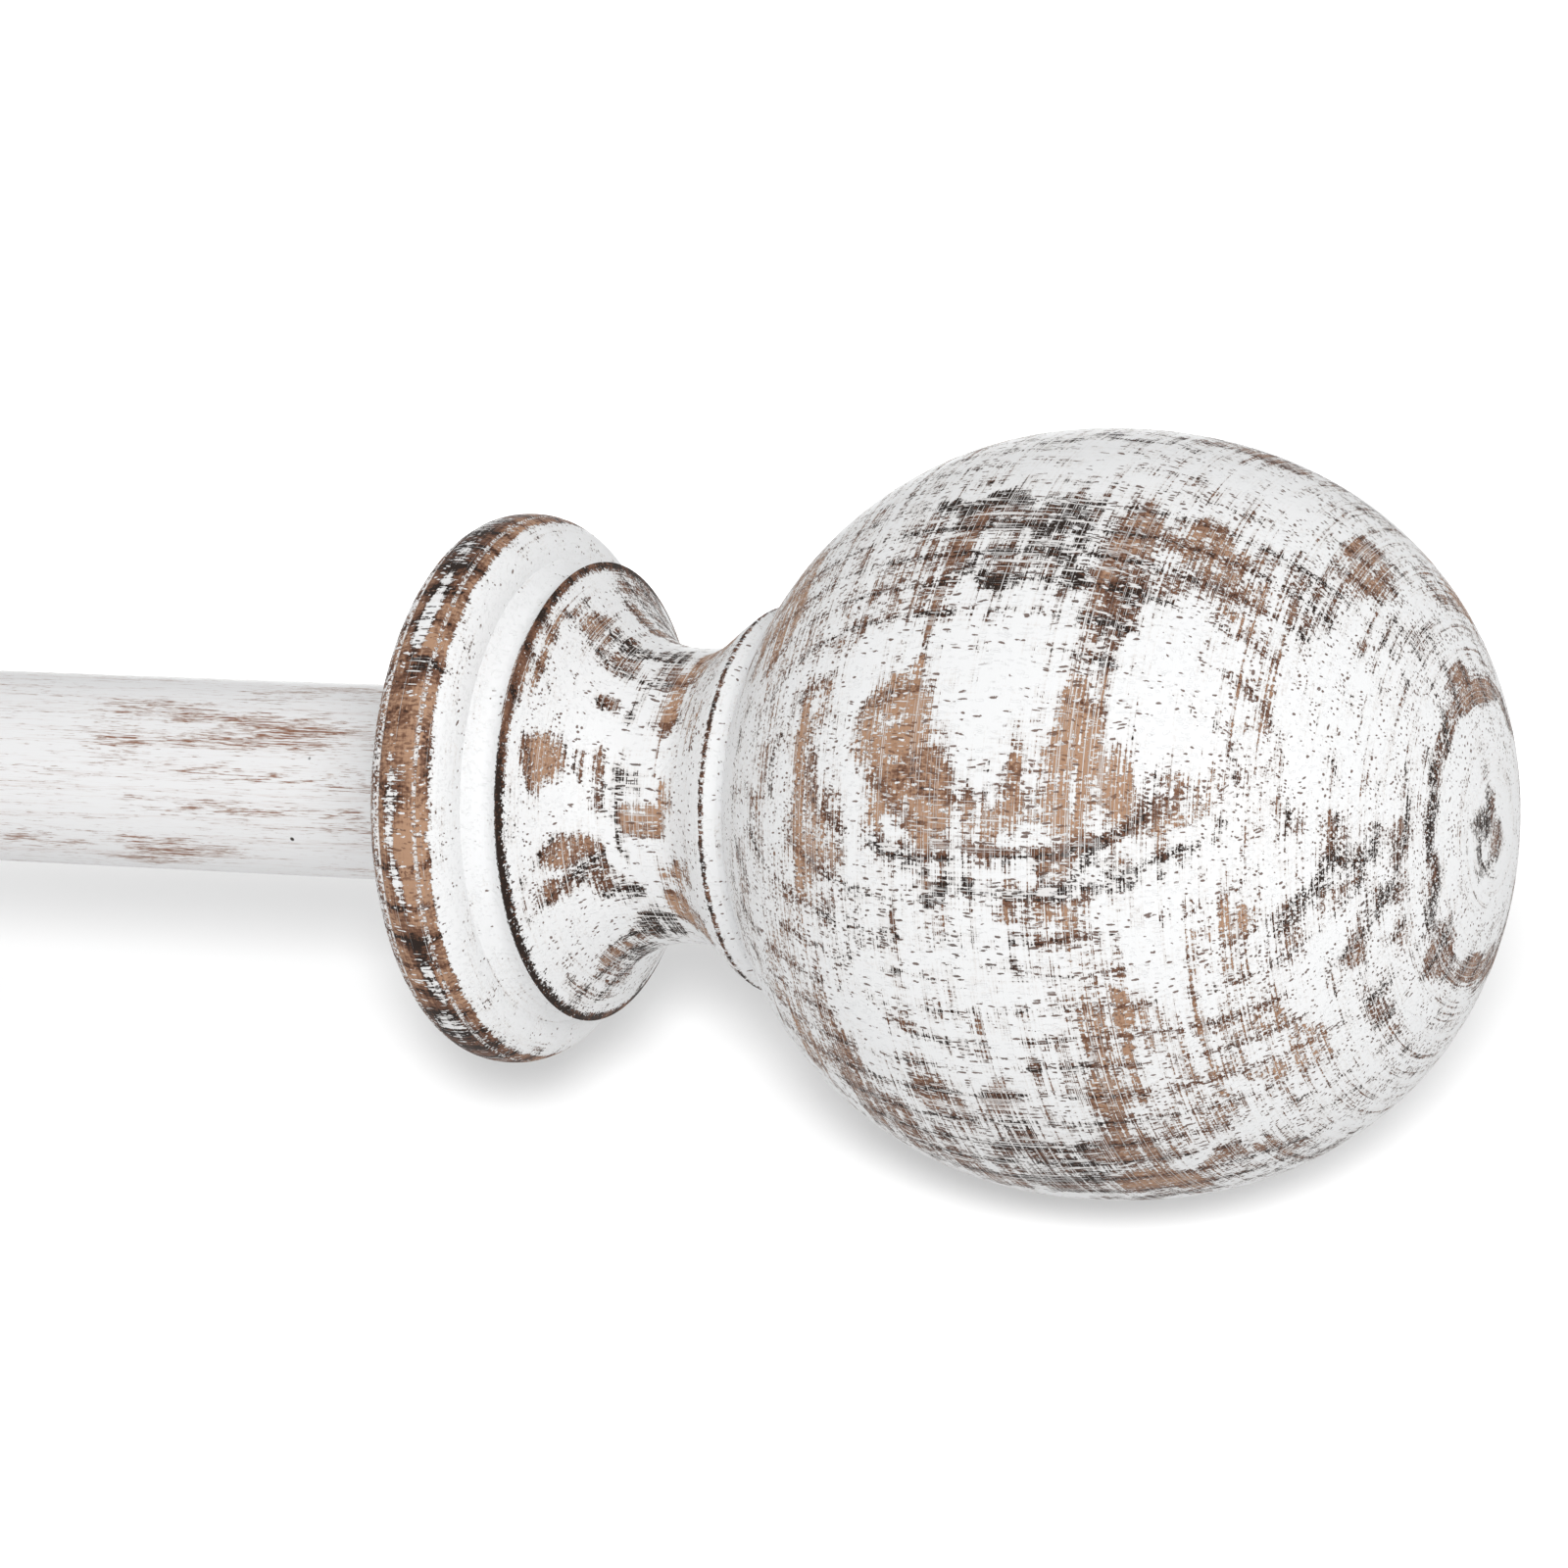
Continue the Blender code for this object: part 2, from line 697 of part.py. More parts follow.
def make_cradle(side, holder, screw_holders, look):
    """The open strap that the rod rests in, its boss and thumb screw, and the screw to the arm."""
    axis = Vector((world_of(holder).x, -PROJECTION, 0))
    section = cradle_section(CRADLE_STEPS)
    half = CRADLE_WIDTH / 2
    loops = [[(along, y, z) for y, z in section] for along in (-half, half)]
    cradle = add_object(side + "_cradle", lofted(loops), look["washed_steel"], holder, axis)
    bevel = cradle.modifiers.new("edge_break", "BEVEL")
    bevel.width = EDGE_BREAK
    bevel.segments = 1
    bevel.limit_method = "ANGLE"
    bevel.angle_limit = math.radians(40)
    bottom = axis + Vector((0, 0, -CRADLE_R - CRADLE_THICK))
    boss, hole = threaded_boss(side + "_cradle", 0.5 * CRADLE_THICK, CRADLE_BOSS_HEIGHT, holder, bottom)
    join(cradle, boss)
    cut(cradle, hole)
    inner_face = Vector((axis.x, -PROJECTION + CRADLE_R, ARM_Z))
    countersunk = countersink(
        side + "_cradle_screw_hole",
        CRADLE_SCREW_HEAD_R + CLEAR,
        M4_R + CLEAR,
        2 * CRADLE_THICK,
        holder,
        inner_face,
        WALL,
    )
    cut(cradle, countersunk)
    make_countersunk_screw(
        side + "_cradle_screw",
        CRADLE_SCREW_HEAD_R,
        M4_R,
        CRADLE_SCREW_LENGTH,
        0,
        holder,
        inner_face + Vector((0, CLEAR, 0)),
        WALL,
        look,
    )
    tip = axis + Vector((0, 0, -OUTER_TUBE_R - CLEAR))
    boss_end = CRADLE_R + CRADLE_THICK + CRADLE_BOSS_HEIGHT - OUTER_TUBE_R - CLEAR
    make_thumb_screw(side + "_clamp", tip, boss_end, screw_holders, look)


def thumb_screw_holders(stem, parent, world):
    """The two empties on a thumb screw's axis: one travels, and the knob's turns on it."""
    travel = empty(stem + "_travel", world, parent)
    return travel, empty(stem + "_turn", world, travel)


def make_bracket(side, sign, wall_frame, look):
    """One bracket. It returns the empty that moves with the arm."""
    fixed = empty(side + "_bracket", (sign * BRACKET_X, 0, ARM_Z), wall_frame)
    arm = empty(side + "_arm", (sign * BRACKET_X, -PROJECTION, ARM_Z), fixed)
    projection_screw = thumb_screw_holders(
        side + "_projection", fixed, (sign * BRACKET_X, SLEEVE_BOSS_Y, ARM_Z)
    )
    clamp_screw = thumb_screw_holders(side + "_clamp", arm, (sign * BRACKET_X, -PROJECTION, 0))
    make_wall_plate(side, fixed, look)
    make_sleeve(side, fixed, projection_screw, look)
    make_arm_bar(side, arm, look)
    make_cradle(side, arm, clamp_screw, look)
    return arm


def make_rod(right_arm, look):
    """The two tubes with their fittings and finials. The rod is lifted out of the cradles as one."""
    rod = empty("rod_lift", (0, -PROJECTION, 0), right_arm)
    inner = empty("inner_slide", (0, -PROJECTION, 0), rod)
    make_outer_tube(rod, look["washed_steel"])
    make_mouth_bush(rod, look["nylon"])
    make_inner_tube(inner, look["washed_steel"])
    make_inner_guide(inner, look["nylon"])
    ends = (("right", RIGHT, OUTER_TUBE_R, rod), ("left", LEFT, INNER_TUBE_R, inner))
    for side, outwards, tube_radius, carrier in ends:
        make_end_fittings(side, outwards, tube_radius, carrier, look)
        back_face = world_of(rod) + outwards * (ROD_LENGTH / 2)
        travel = empty(side + "_finial_travel", back_face, carrier)
        turn = empty(side + "_finial_turn", back_face, travel)
        make_finial(side, outwards, turn, travel, look)


def main():
    clear_scene()
    look = finishes()
    wall_frame = empty("wall_frame", (0, 0, 0))
    right_arm = make_bracket("right", 1, wall_frame, look)
    make_bracket("left", -1, wall_frame, look)
    make_rod(right_arm, look)


main()
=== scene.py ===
import json
import math
import random

import bpy
import numpy as np
from mathutils import Matrix, Vector


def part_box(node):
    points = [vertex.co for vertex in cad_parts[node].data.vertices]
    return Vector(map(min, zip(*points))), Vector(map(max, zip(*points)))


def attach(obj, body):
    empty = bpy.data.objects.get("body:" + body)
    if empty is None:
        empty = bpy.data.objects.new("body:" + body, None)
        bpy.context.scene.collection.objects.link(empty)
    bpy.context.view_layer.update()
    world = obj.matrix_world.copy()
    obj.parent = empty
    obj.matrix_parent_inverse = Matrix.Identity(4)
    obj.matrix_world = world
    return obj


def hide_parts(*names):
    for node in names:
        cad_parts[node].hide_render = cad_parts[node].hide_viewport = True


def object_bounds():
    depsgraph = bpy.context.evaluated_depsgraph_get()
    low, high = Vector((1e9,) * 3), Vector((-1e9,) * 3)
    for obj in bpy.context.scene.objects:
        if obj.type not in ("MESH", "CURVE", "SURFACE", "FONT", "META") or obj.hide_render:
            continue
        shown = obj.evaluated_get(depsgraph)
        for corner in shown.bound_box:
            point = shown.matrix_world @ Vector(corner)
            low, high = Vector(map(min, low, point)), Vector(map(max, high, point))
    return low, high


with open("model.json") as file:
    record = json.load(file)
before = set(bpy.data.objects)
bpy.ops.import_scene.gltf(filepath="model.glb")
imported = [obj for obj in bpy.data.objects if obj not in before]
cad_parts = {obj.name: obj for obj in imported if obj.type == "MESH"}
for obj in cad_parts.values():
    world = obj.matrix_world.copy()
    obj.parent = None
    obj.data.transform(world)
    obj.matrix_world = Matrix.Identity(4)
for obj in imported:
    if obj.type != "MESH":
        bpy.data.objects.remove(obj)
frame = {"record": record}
cad_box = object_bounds()

# Shapes are made in millimetres, in each piece's own frame: its axis is +X, angle 0 faces the room on the
# right half of the rod, and 90 degrees is up. Attributes on each mesh carry what its material needs: place,
# the point in that frame, and wear, which is (how bare, how dark, distance along the turned profile).
MM = 0.001
CLEAR = 0.3

OUTER_TUBE_R = 9.525
INNER_TUBE_R = 7.9375
TUBE_WALL = 0.7
TUBE_STEP = 2.0  # spacing of a tube's rings

FLANGE_THICK = 8.75
FLANGE_BACK_R = 22.3
FLANGE_RIM_R = 26.45
FLANGE_ROUNDING = 2.2
SCRIBED = (2.0, 5.95)  # lines scribed round the rim, from its back face
SCRIBE_DEPTH = 0.22
SCRIBE_HALF_WIDTH = 0.22
COVE_DEPTH = 1.2
BELL_STATIONS = ((12.3, 22.0), (16.7, 16.15), (24.8, 14.1), (31.5, 18.25))
BELL_SLOPES = (-1.62, -0.9, 0.0, 0.54)
COLLAR_WIDTH = 2.0
BALL_CENTRE = 64.7
BALL_R = 35.6
BALL_BACK = (35.6, 2.06)  # half length and rounding of the half towards the rod
BALL_FRONT = (37.5, 2.18)
STUD_HOLE = 25.3
STUD_R = 3.0

M4_R = 2.0
M4_PITCH = 0.7
M6_PITCH = 1.0
KNOB_R = 6.5
BOSS_R = 5.0
SLEEVE_R = 8.0
SLEEVE_BOSS = (36, 4.5)  # distance from the wall, and height
ARM_R = 5.0
CRADLE_R = 9.9
CRADLE_THICK = 2.5
CRADLE_BOSS = 5  # height
CRADLE_SCREW_UP = 3  # above the rod's axis
PLATE_R = 13.0
PLATE_CENTRE = 25.0  # of the round at each end, above or below the arm
PLATE_THICK = 3
WALL_SCREW_UP = 26

SEGMENTS = 96
TUBE_SEGMENTS = 192
FINIAL_SEGMENTS = 300
FINE_SEGMENTS = 48
KNOB_SEGMENTS = 144

RIGHT = Vector((1, 0, 0))
LEFT = Vector((-1, 0, 0))
ROOM = Vector((0, -1, 0))
WALL = Vector((0, 1, 0))
DOWN = Vector((0, 0, -1))
SIDES = (("right", RIGHT), ("left", LEFT))

RECORD = frame["record"]
BODY_OF = {node: body for body, nodes in RECORD["behaviour"]["bodies"].items() for node in nodes}
SLOT_OF = {part["node"]: part["material_slot"] for part in RECORD["subparts"]}


# ---------------------------------------------------------------- shapes


def turned(profile, segments, closed=False, relief=None):
    """Points and faces turned about X from (along, radius). relief(along, angle) is taken off the radius."""
    points = []
    rows = []
    for along, radius in profile:
        first = len(points)
        if radius == 0:
            points.append((along, 0.0, 0.0))
            rows.append([first] * segments)
            continue
        rows.append([first + j for j in range(segments)])
        for j in range(segments):
            angle = 2 * math.pi * j / segments
            reach = radius - (relief(along, angle) if relief else 0)
            points.append((along, -reach * math.cos(angle), reach * math.sin(angle)))
    pairs = list(zip(rows, rows[1:]))
    if closed:
        pairs.append((rows[-1], rows[0]))
    faces = []
    for lower, upper in pairs:
        for j in range(segments):
            k = (j + 1) % segments
            faces.append(tuple(dict.fromkeys((lower[j], upper[j], upper[k], lower[k]))))
    return points, faces


def lofted(loops):
    """Points and faces through loops of equally many points, closed by a face on the first and the last."""
    count = len(loops[0])
    points = [point for loop in loops for point in loop]
    faces = [tuple(range(count)), tuple(range((len(loops) - 1) * count, len(loops) * count))[::-1]]
    for i in range(len(loops) - 1):
        for j in range(count):
            k = (j + 1) % count
            faces.append((i * count + k, i * count + j, (i + 1) * count + j, (i + 1) * count + k))
    return points, faces


def moved(shape, matrix):
    return [tuple(matrix @ Vector(point)) for point in shape[0]], shape[1]


def frame_of(origin, direction):
    """Takes a piece's own frame to another: +X points along direction from origin."""
    if direction == DOWN:
        turn = Matrix.Rotation(math.pi / 2, 4, "Y")
    else:
        turn = Matrix.Rotation(math.atan2(direction.y, direction.x), 4, "Z")
    return Matrix.Translation(origin) @ turn


def outward(mesh):
    """Turns a closed mesh's faces outwards."""
    count = len(mesh.vertices)
    co = np.empty(count * 3)
    mesh.vertices.foreach_get("co", co)
    co = co.reshape(-1, 3)
    mesh.calc_loop_triangles()
    corners = np.empty(len(mesh.loop_triangles) * 3, np.int32)
    mesh.loop_triangles.foreach_get("vertices", corners)
    a, b, c = (co[corners[i::3]] for i in range(3))
    if np.einsum("ij,ij->", a, np.cross(b, c)) < 0:
        mesh.flip_normals()


def object_of(name, shape):
    mesh = bpy.data.meshes.new(name)
    mesh.from_pydata(shape[0], [], shape[1])
    mesh.validate()
    outward(mesh)
    obj = bpy.data.objects.new(name, mesh)
    bpy.context.scene.collection.objects.link(obj)
    return obj


def carved(shape, joins=(), cuts=()):
    """The shape with others joined to it and then cut from it."""
    base = object_of("carving", shape)
    tools = []
    for operation, others in (("UNION", joins), ("DIFFERENCE", cuts)):
        for other in others:
            tool = object_of("tool", other)
            modifier = base.modifiers.new(operation.lower(), "BOOLEAN")
            modifier.operation = operation
            modifier.object = tool
            tools.append(tool)
    bpy.context.view_layer.update()
    mesh = base.evaluated_get(bpy.context.evaluated_depsgraph_get()).to_mesh()
    points = [tuple(vertex.co) for vertex in mesh.vertices]
    faces = [tuple(polygon.vertices) for polygon in mesh.polygons]
    for obj in [base] + tools:
        bpy.data.objects.remove(obj)
    return points, faces


def set_attribute(mesh, name, values):
    layer = mesh.attributes.new(name, "FLOAT_VECTOR", "POINT")
    layer.data.foreach_set("vector", np.asarray(values, np.float32).ravel())


def add_piece(node, shape, to_row, wear=None, strokes=None):
    """Shows shape in place of a CAD node. strokes turns its points so that its brush marks lie along X."""
    obj = object_of(node + "_shown", shape)
    mesh = obj.data
    place = np.array([tuple(vertex.co) for vertex in mesh.vertices])
    set_attribute(mesh, "place", strokes(place) if strokes else place)
    if wear is not None:
        set_attribute(mesh, "wear", wear(place))
    mesh.transform(to_row @ Matrix.Scale(MM, 4))
    mesh.shade_smooth()
    mesh.set_sharp_from_angle(angle=math.radians(30))
    mesh.materials.append(LOOK[SLOT_OF[node]])
    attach(obj, BODY_OF[node])
    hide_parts(node)


def arc(centre, radius, start, end, steps):
    """Points of an arc, its angles in degrees."""
    points = []
    for i in range(steps + 1):
        angle = math.radians(start + (end - start) * i / steps)
        points.append((centre[0] + radius * math.cos(angle), centre[1] + radius * math.sin(angle)))
    return points


def spaced(start, end, step):
    """Evenly spaced values from start to end, no further apart than step."""
    count = max(1, math.ceil(abs(end - start) / step))
    return [start + (end - start) * i / count for i in range(count + 1)]


def straight(start, end, radius, step):
    """Profile points of a cylinder's side."""
    return [(along, radius) for along in spaced(start, end, step)]


# ---------------------------------------------------------------- node graphs


class Wire:
    """A number in a material's node graph. Arithmetic on it adds Math nodes."""

    def __init__(self, tree, socket):
        self.tree = tree
        self.socket = socket

    def math(self, operation, *others):
        node = self.tree.nodes.new("ShaderNodeMath")
        node.operation = operation
        for i, value in enumerate((self, *others)):
            feed(self.tree, node.inputs[i], value)
        return Wire(self.tree, node.outputs[0])

    def __add__(self, other):
        return self.math("ADD", other)

    def __sub__(self, other):
        return self.math("SUBTRACT", other)

    def __mul__(self, other):
        return self.math("MULTIPLY", other)

    def most(self, other):
        return self.math("MAXIMUM", other)

    def least(self, other):
        return self.math("MINIMUM", other)

    def square(self):
        return self * self

    def off(self, centre):
        """How far from centre it is, either way."""
        return (self - centre).math("ABSOLUTE")

    def inverse(self):
        return self * -1 + 1

    def step(self, low, high):
        """0 at low, 1 at high, and smooth between them. low may be above high."""
        node = self.tree.nodes.new("ShaderNodeMapRange")
        node.interpolation_type = "SMOOTHSTEP"
        feed(self.tree, node.inputs["Value"], self)
        ends = (low, high, 0, 1) if low < high else (high, low, 1, 0)
        for name, value in zip(("From Min", "From Max", "To Min", "To Max"), ends):
            node.inputs[name].default_value = value
        return Wire(self.tree, node.outputs["Result"])


def feed(tree, socket, value):
    if isinstance(value, Wire):
        tree.links.new(value.socket, socket)
    else:
        socket.default_value = value


class Graph:
    """A material being made, with one method for each kind of node that it uses."""

    def __init__(self, name):
        self.material = bpy.data.materials.new(name)
        self.material.use_nodes = True
        self.tree = self.material.node_tree
        self.shader = self.tree.nodes["Principled BSDF"]

    def new(self, kind, output, **inputs):
        node = self.tree.nodes.new("ShaderNode" + kind)
        for key, value in inputs.items():
            feed(self.tree, node.inputs[key.replace("_", " ")], value)
        return Wire(self.tree, node.outputs[output])

    def attribute(self, name):
        """The three numbers of a mesh attribute."""
        node = self.tree.nodes.new("ShaderNodeAttribute")
        node.attribute_name = name
        split = self.tree.nodes.new("ShaderNodeSeparateXYZ")
        self.tree.links.new(node.outputs["Vector"], split.inputs[0])
        return [Wire(self.tree, socket) for socket in split.outputs]

    def point(self, x, y, z):
        return self.new("CombineXYZ", "Vector", X=x, Y=y, Z=z)

    def marks(self, place, along, across, detail=2.0, roughness=0.5):
        """Noise with marks 1 / along mm long and 1 / across mm wide."""
        x, y, z = place
        where = self.point(x * along, y * across, z * across)
        return self.new("TexNoise", "Fac", Vector=where, Scale=1.0, Detail=detail, Roughness=roughness)

    def cells(self, x, y, z):
        """(distance to the nearest cell's centre, that cell's own random number)"""
        node = self.tree.nodes.new("ShaderNodeTexVoronoi")
        node.inputs["Scale"].default_value = 1.0
        feed(self.tree, node.inputs["Vector"], self.point(x, y, z))
        split = self.tree.nodes.new("ShaderNodeSeparateColor")
        self.tree.links.new(node.outputs["Color"], split.inputs[0])
        return Wire(self.tree, node.outputs["Distance"]), Wire(self.tree, split.outputs[0])

    def blend(self, first, second, amount):
        """Between two colours, each an RGB triple or a wire."""
        node = self.tree.nodes.new("ShaderNodeMix")
        node.data_type = "RGBA"
        feed(self.tree, node.inputs["Factor"], amount)
        for socket, color in ((node.inputs[6], first), (node.inputs[7], second)):
            feed(self.tree, socket, color if isinstance(color, Wire) else (*color, 1.0))
        return Wire(self.tree, node.outputs[2])

    def finish(self, height=None, depth=0.1, **inputs):
        """Sets the shader's inputs, and a bump whose full height is depth mm."""
        for key, value in inputs.items():
            socket = self.shader.inputs[key.replace("_", " ")]
            feed(self.tree, socket, (*value, 1.0) if isinstance(value, tuple) else value)
        if height is not None:
            bump = self.new("Bump", "Normal", Height=height, Distance=depth * MM, Strength=1.0)
            self.tree.links.new(bump.socket, self.shader.inputs["Normal"])
        return self.material


# ---------------------------------------------------------------- materials

TAN = (0.46, 0.275, 0.175)
BROWN = (0.152, 0.070, 0.042)
BLACK_BROWN = (0.024, 0.014, 0.010)
WOOD_PAINT = (0.90, 0.905, 0.91)
THIN_PAINT = (0.74, 0.70, 0.67)
STEEL_PAINT = (0.85, 0.85, 0.855)
STREAK = (0.25, 0.095, 0.040)

RIM_END = (8.2, 7.2)  # the rim's own pattern ends between these distances from the back face
COVE = 10.0
WORN_EDGES = (12.4, 31.5)  # turned edges that are rubbed through: the bell's foot and the collar
PITH = (-44.1, 8.6)  # the growth layers lie round a line this far to the side and up, along the finial


def washed_wood():
    """White paint dragged over stained ring-porous wood and rubbed back with fine paper."""
    g = Graph("washed_wood")
    x, y, z = place = g.attribute("place")
    bare, dark, s = g.attribute("wear")
    unrolled = (s, y, z)
    on_rim = x.step(*RIM_END)

    # Marks left by a brush held against the turning wood, and by one drawn along it.
    around = g.marks(unrolled, 4.4, 0.09, 3.0, 0.68) - 0.5
    around_wide = g.marks(unrolled, 1.0, 0.045) - 0.5
    along = g.marks(place, 0.11, 3.6, 3.0, 0.62) - 0.5
    grit = g.marks(place, 2.4, 3.0) - 0.5
    blotch = g.marks(place, 0.33, 0.42, 3.0) - 0.5
    scratch = g.marks(unrolled, 10.0, 0.05) + blotch * 0.12
    stroke = g.marks(place, 0.055, 6.0, 1.0) + blotch * 0.15
    dragged = g.marks(place, 0.045, 2.6, 2.0, 0.6) + blotch * 0.1

    from_pith = ((y - PITH[0]).square() + (z - PITH[1]).square()).math("SQRT")
    wobble = g.marks(place, 0.03, 0.06, 1.0)
    layer = (from_pith * 1.9 + wobble * 5.0).math("SINE")
    layer_line = layer.step(0.72, 0.97) * (grit + 0.5).step(0.34, 0.50)

    t = bare + around * (on_rim * -0.7 + 1.35) + along * (on_rim * 0.7 + 0.95)
    t = t + grit * 0.60 + around_wide * 0.80 + blotch * 0.95 + layer * 0.03 + layer_line * bare * 0.30
    worn = t.step(0.46, 0.54)
    jag = around * 0.3 + along * 0.9 + grit * 0.7
    bell_edge = (x + jag).off(WORN_EDGES[0]).step(0.40, 0.28)
    collar_edge = (x + jag * 0.8).off(WORN_EDGES[1]).step(0.30, 0.18)
    edges = bell_edge.most(collar_edge * (along + 0.5).step(0.38, 0.46))

    # Paint left in the scribed lines, and in the scratches and strokes that cross the bare wood.
    filled = x.off(SCRIBED[1]).step(0.26, 0.12) * (along + 0.5).step(0.47, 0.53)
    filled = filled.most(x.off(SCRIBED[0]).step(0.20, 0.10) * (grit + 0.5).step(0.40, 0.48))
    off_rim = on_rim * -0.10
    most_paint = (bare * -1.0 + 1.45).least(0.90)
    filled = filled.most((scratch + off_rim).step(0.585, 0.62) * most_paint)
    filled = filled.most((dragged + off_rim).step(0.565, 0.595) * dark.step(0.42, 0.56) * 0.96)
    filled = filled.most((stroke + off_rim).step(0.65, 0.69) * most_paint)
    worn = (worn * filled.inverse()).most(edges)

    pore_size = g.marks(place, 0.7, 1.1, 1.0)
    drift = g.marks(place, 0.22, 0.35, 1.0) * 5.0
    pore_distance, pore_kind = g.cells(x * 0.70 + grit * 0.9, y * 3.0 + drift, z * 3.0 + drift)
    pore = (pore_distance + grit * 0.45 + around * 0.30 - pore_size * 0.26).step(0.22, 0.12)
    on_cove = x.off(COVE).step(2.4, 1.6)
    crowding = pore_kind + bare * 0.95 + layer * 0.08 + blotch * 0.4 - on_cove * 0.16
    open_pore = pore * crowding.step(0.80, 0.86)
    filled_pore = pore * pore_kind.step(0.42, 0.38)

    skirt = t.step(0.66, 0.52)
    stain = dark + along + around * 0.7 + layer * 0.10 + grit * 0.8 + blotch * 0.4 + skirt * 0.16
    stain = stain + edges * 0.25 + layer_line * 0.24
    wood = g.blend(TAN, BROWN, stain.step(0.16, 0.70))
    wood = g.blend(wood, BLACK_BROWN, stain.step(0.64, 0.92))
    wood = g.blend(wood, BROWN, open_pore * 0.7)
    wood = g.blend(wood, WOOD_PAINT, filled_pore * 0.9)

    thin = t.step(0.16, 0.46)
    coat = g.blend(WOOD_PAINT, THIN_PAINT, thin * 0.5)
    coat = g.blend(coat, g.blend(BROWN, BLACK_BROWN, dark), open_pore * 0.88)
    color = g.blend(coat, wood, worn)

    height = worn.inverse() * 0.5 + around * 0.25 + along * 0.15 - pore * 0.3
    roughness = worn * 0.08 + around_wide * 0.15 + 0.47
    return g.finish(height, 0.10, Base_Color=color, Roughness=roughness, Specular_IOR_Level=0.18)


def washed_steel():
    """White paint on steel, with brown glaze left in the brush marks."""
    g = Graph("washed_steel")
    x, y, z = place = g.attribute("place")
    load = g.attribute("wear")[0]
    fine = g.marks(place, 0.20, 10.0, 3.0, 0.72) - 0.5
    hair = g.marks(place, 0.40, 20.0) - 0.5
    long_marks = g.marks(place, 0.03, 2.0, 3.0) - 0.5
    grit = g.marks(place, 1.0, 6.0) - 0.5
    cluster = g.marks(place, 0.05, 0.32, 1.0).step(0.50, 0.72)
    t = load.most(cluster * 0.5) * 0.36 + fine * 1.25 + hair * 0.9 + grit * 0.7 + long_marks * 0.5
    streak = t.step(0.315, 0.375)
    faint = (long_marks + fine * 0.8 + hair * 0.8 + load * 0.08).step(0.02, 0.24)
    speck_distance, speck_kind = g.cells(x * 0.12, y * 0.12, z * 0.12)
    speck = speck_distance.step(0.035, 0.02) * speck_kind.step(0.55, 0.6)
    glaze = g.blend(STREAK, BLACK_BROWN, t.step(0.60, 0.85) * 0.7)
    color = g.blend(STEEL_PAINT, (0.62, 0.52, 0.48), faint * 0.35)
    color = g.blend(color, (0.62, 0.42, 0.29), t.step(0.16, 0.34) * load * 0.40)
    color = g.blend(color, glaze, streak * 0.9)
    color = g.blend(color, BLACK_BROWN, speck)
    height = fine * 0.5 + long_marks * 0.5 - streak * 0.3
    return g.finish(height, 0.03, Base_Color=color, Roughness=fine * 0.3 + 0.42, Specular_IOR_Level=0.4)


def nylon():
    g = Graph("nylon")
    place = g.attribute("place")
    flow = g.marks(place, 0.25, 0.25, 3.0)
    grain = g.marks(place, 6.0, 6.0)
    color = g.blend((0.80, 0.79, 0.75), (0.86, 0.855, 0.83), flow.step(0.35, 0.65))
    return g.finish(grain, 0.02, Base_Color=color, Roughness=flow * 0.2 + 0.4)


def zinc_steel():
    g = Graph("zinc_steel")
    place = g.attribute("place")
    lathe_marks = g.marks(place, 14.0, 0.3)
    cloud = g.marks(place, 0.5, 0.5, 3.0)
    color = g.blend((0.60, 0.62, 0.65), (0.70, 0.69, 0.64), cloud.step(0.35, 0.65))
    roughness = cloud * 0.25 + lathe_marks * 0.1 + 0.2
    return g.finish(lathe_marks, 0.008, Base_Color=color, Roughness=roughness, Metallic=1.0)


def brass():
    g = Graph("brass")
    place = g.attribute("place")
    lathe_marks = g.marks(place, 18.0, 0.3)
    tarnish = g.marks(place, 0.4, 0.4, 4.0)
    color = g.blend((0.76, 0.58, 0.27), (0.50, 0.34, 0.15), tarnish.step(0.5, 0.75) * 0.6)
    roughness = tarnish * 0.3 + lathe_marks * 0.1 + 0.15
    return g.finish(lathe_marks, 0.01, Base_Color=color, Roughness=roughness, Metallic=1.0)


LOOK = {
    "washed_wood": washed_wood(),
    "washed_steel": washed_steel(),
    "nylon": nylon(),
    "zinc_steel": zinc_steel(),
    "brass": brass(),
}


# ---------------------------------------------------------------- where paint is rubbed away

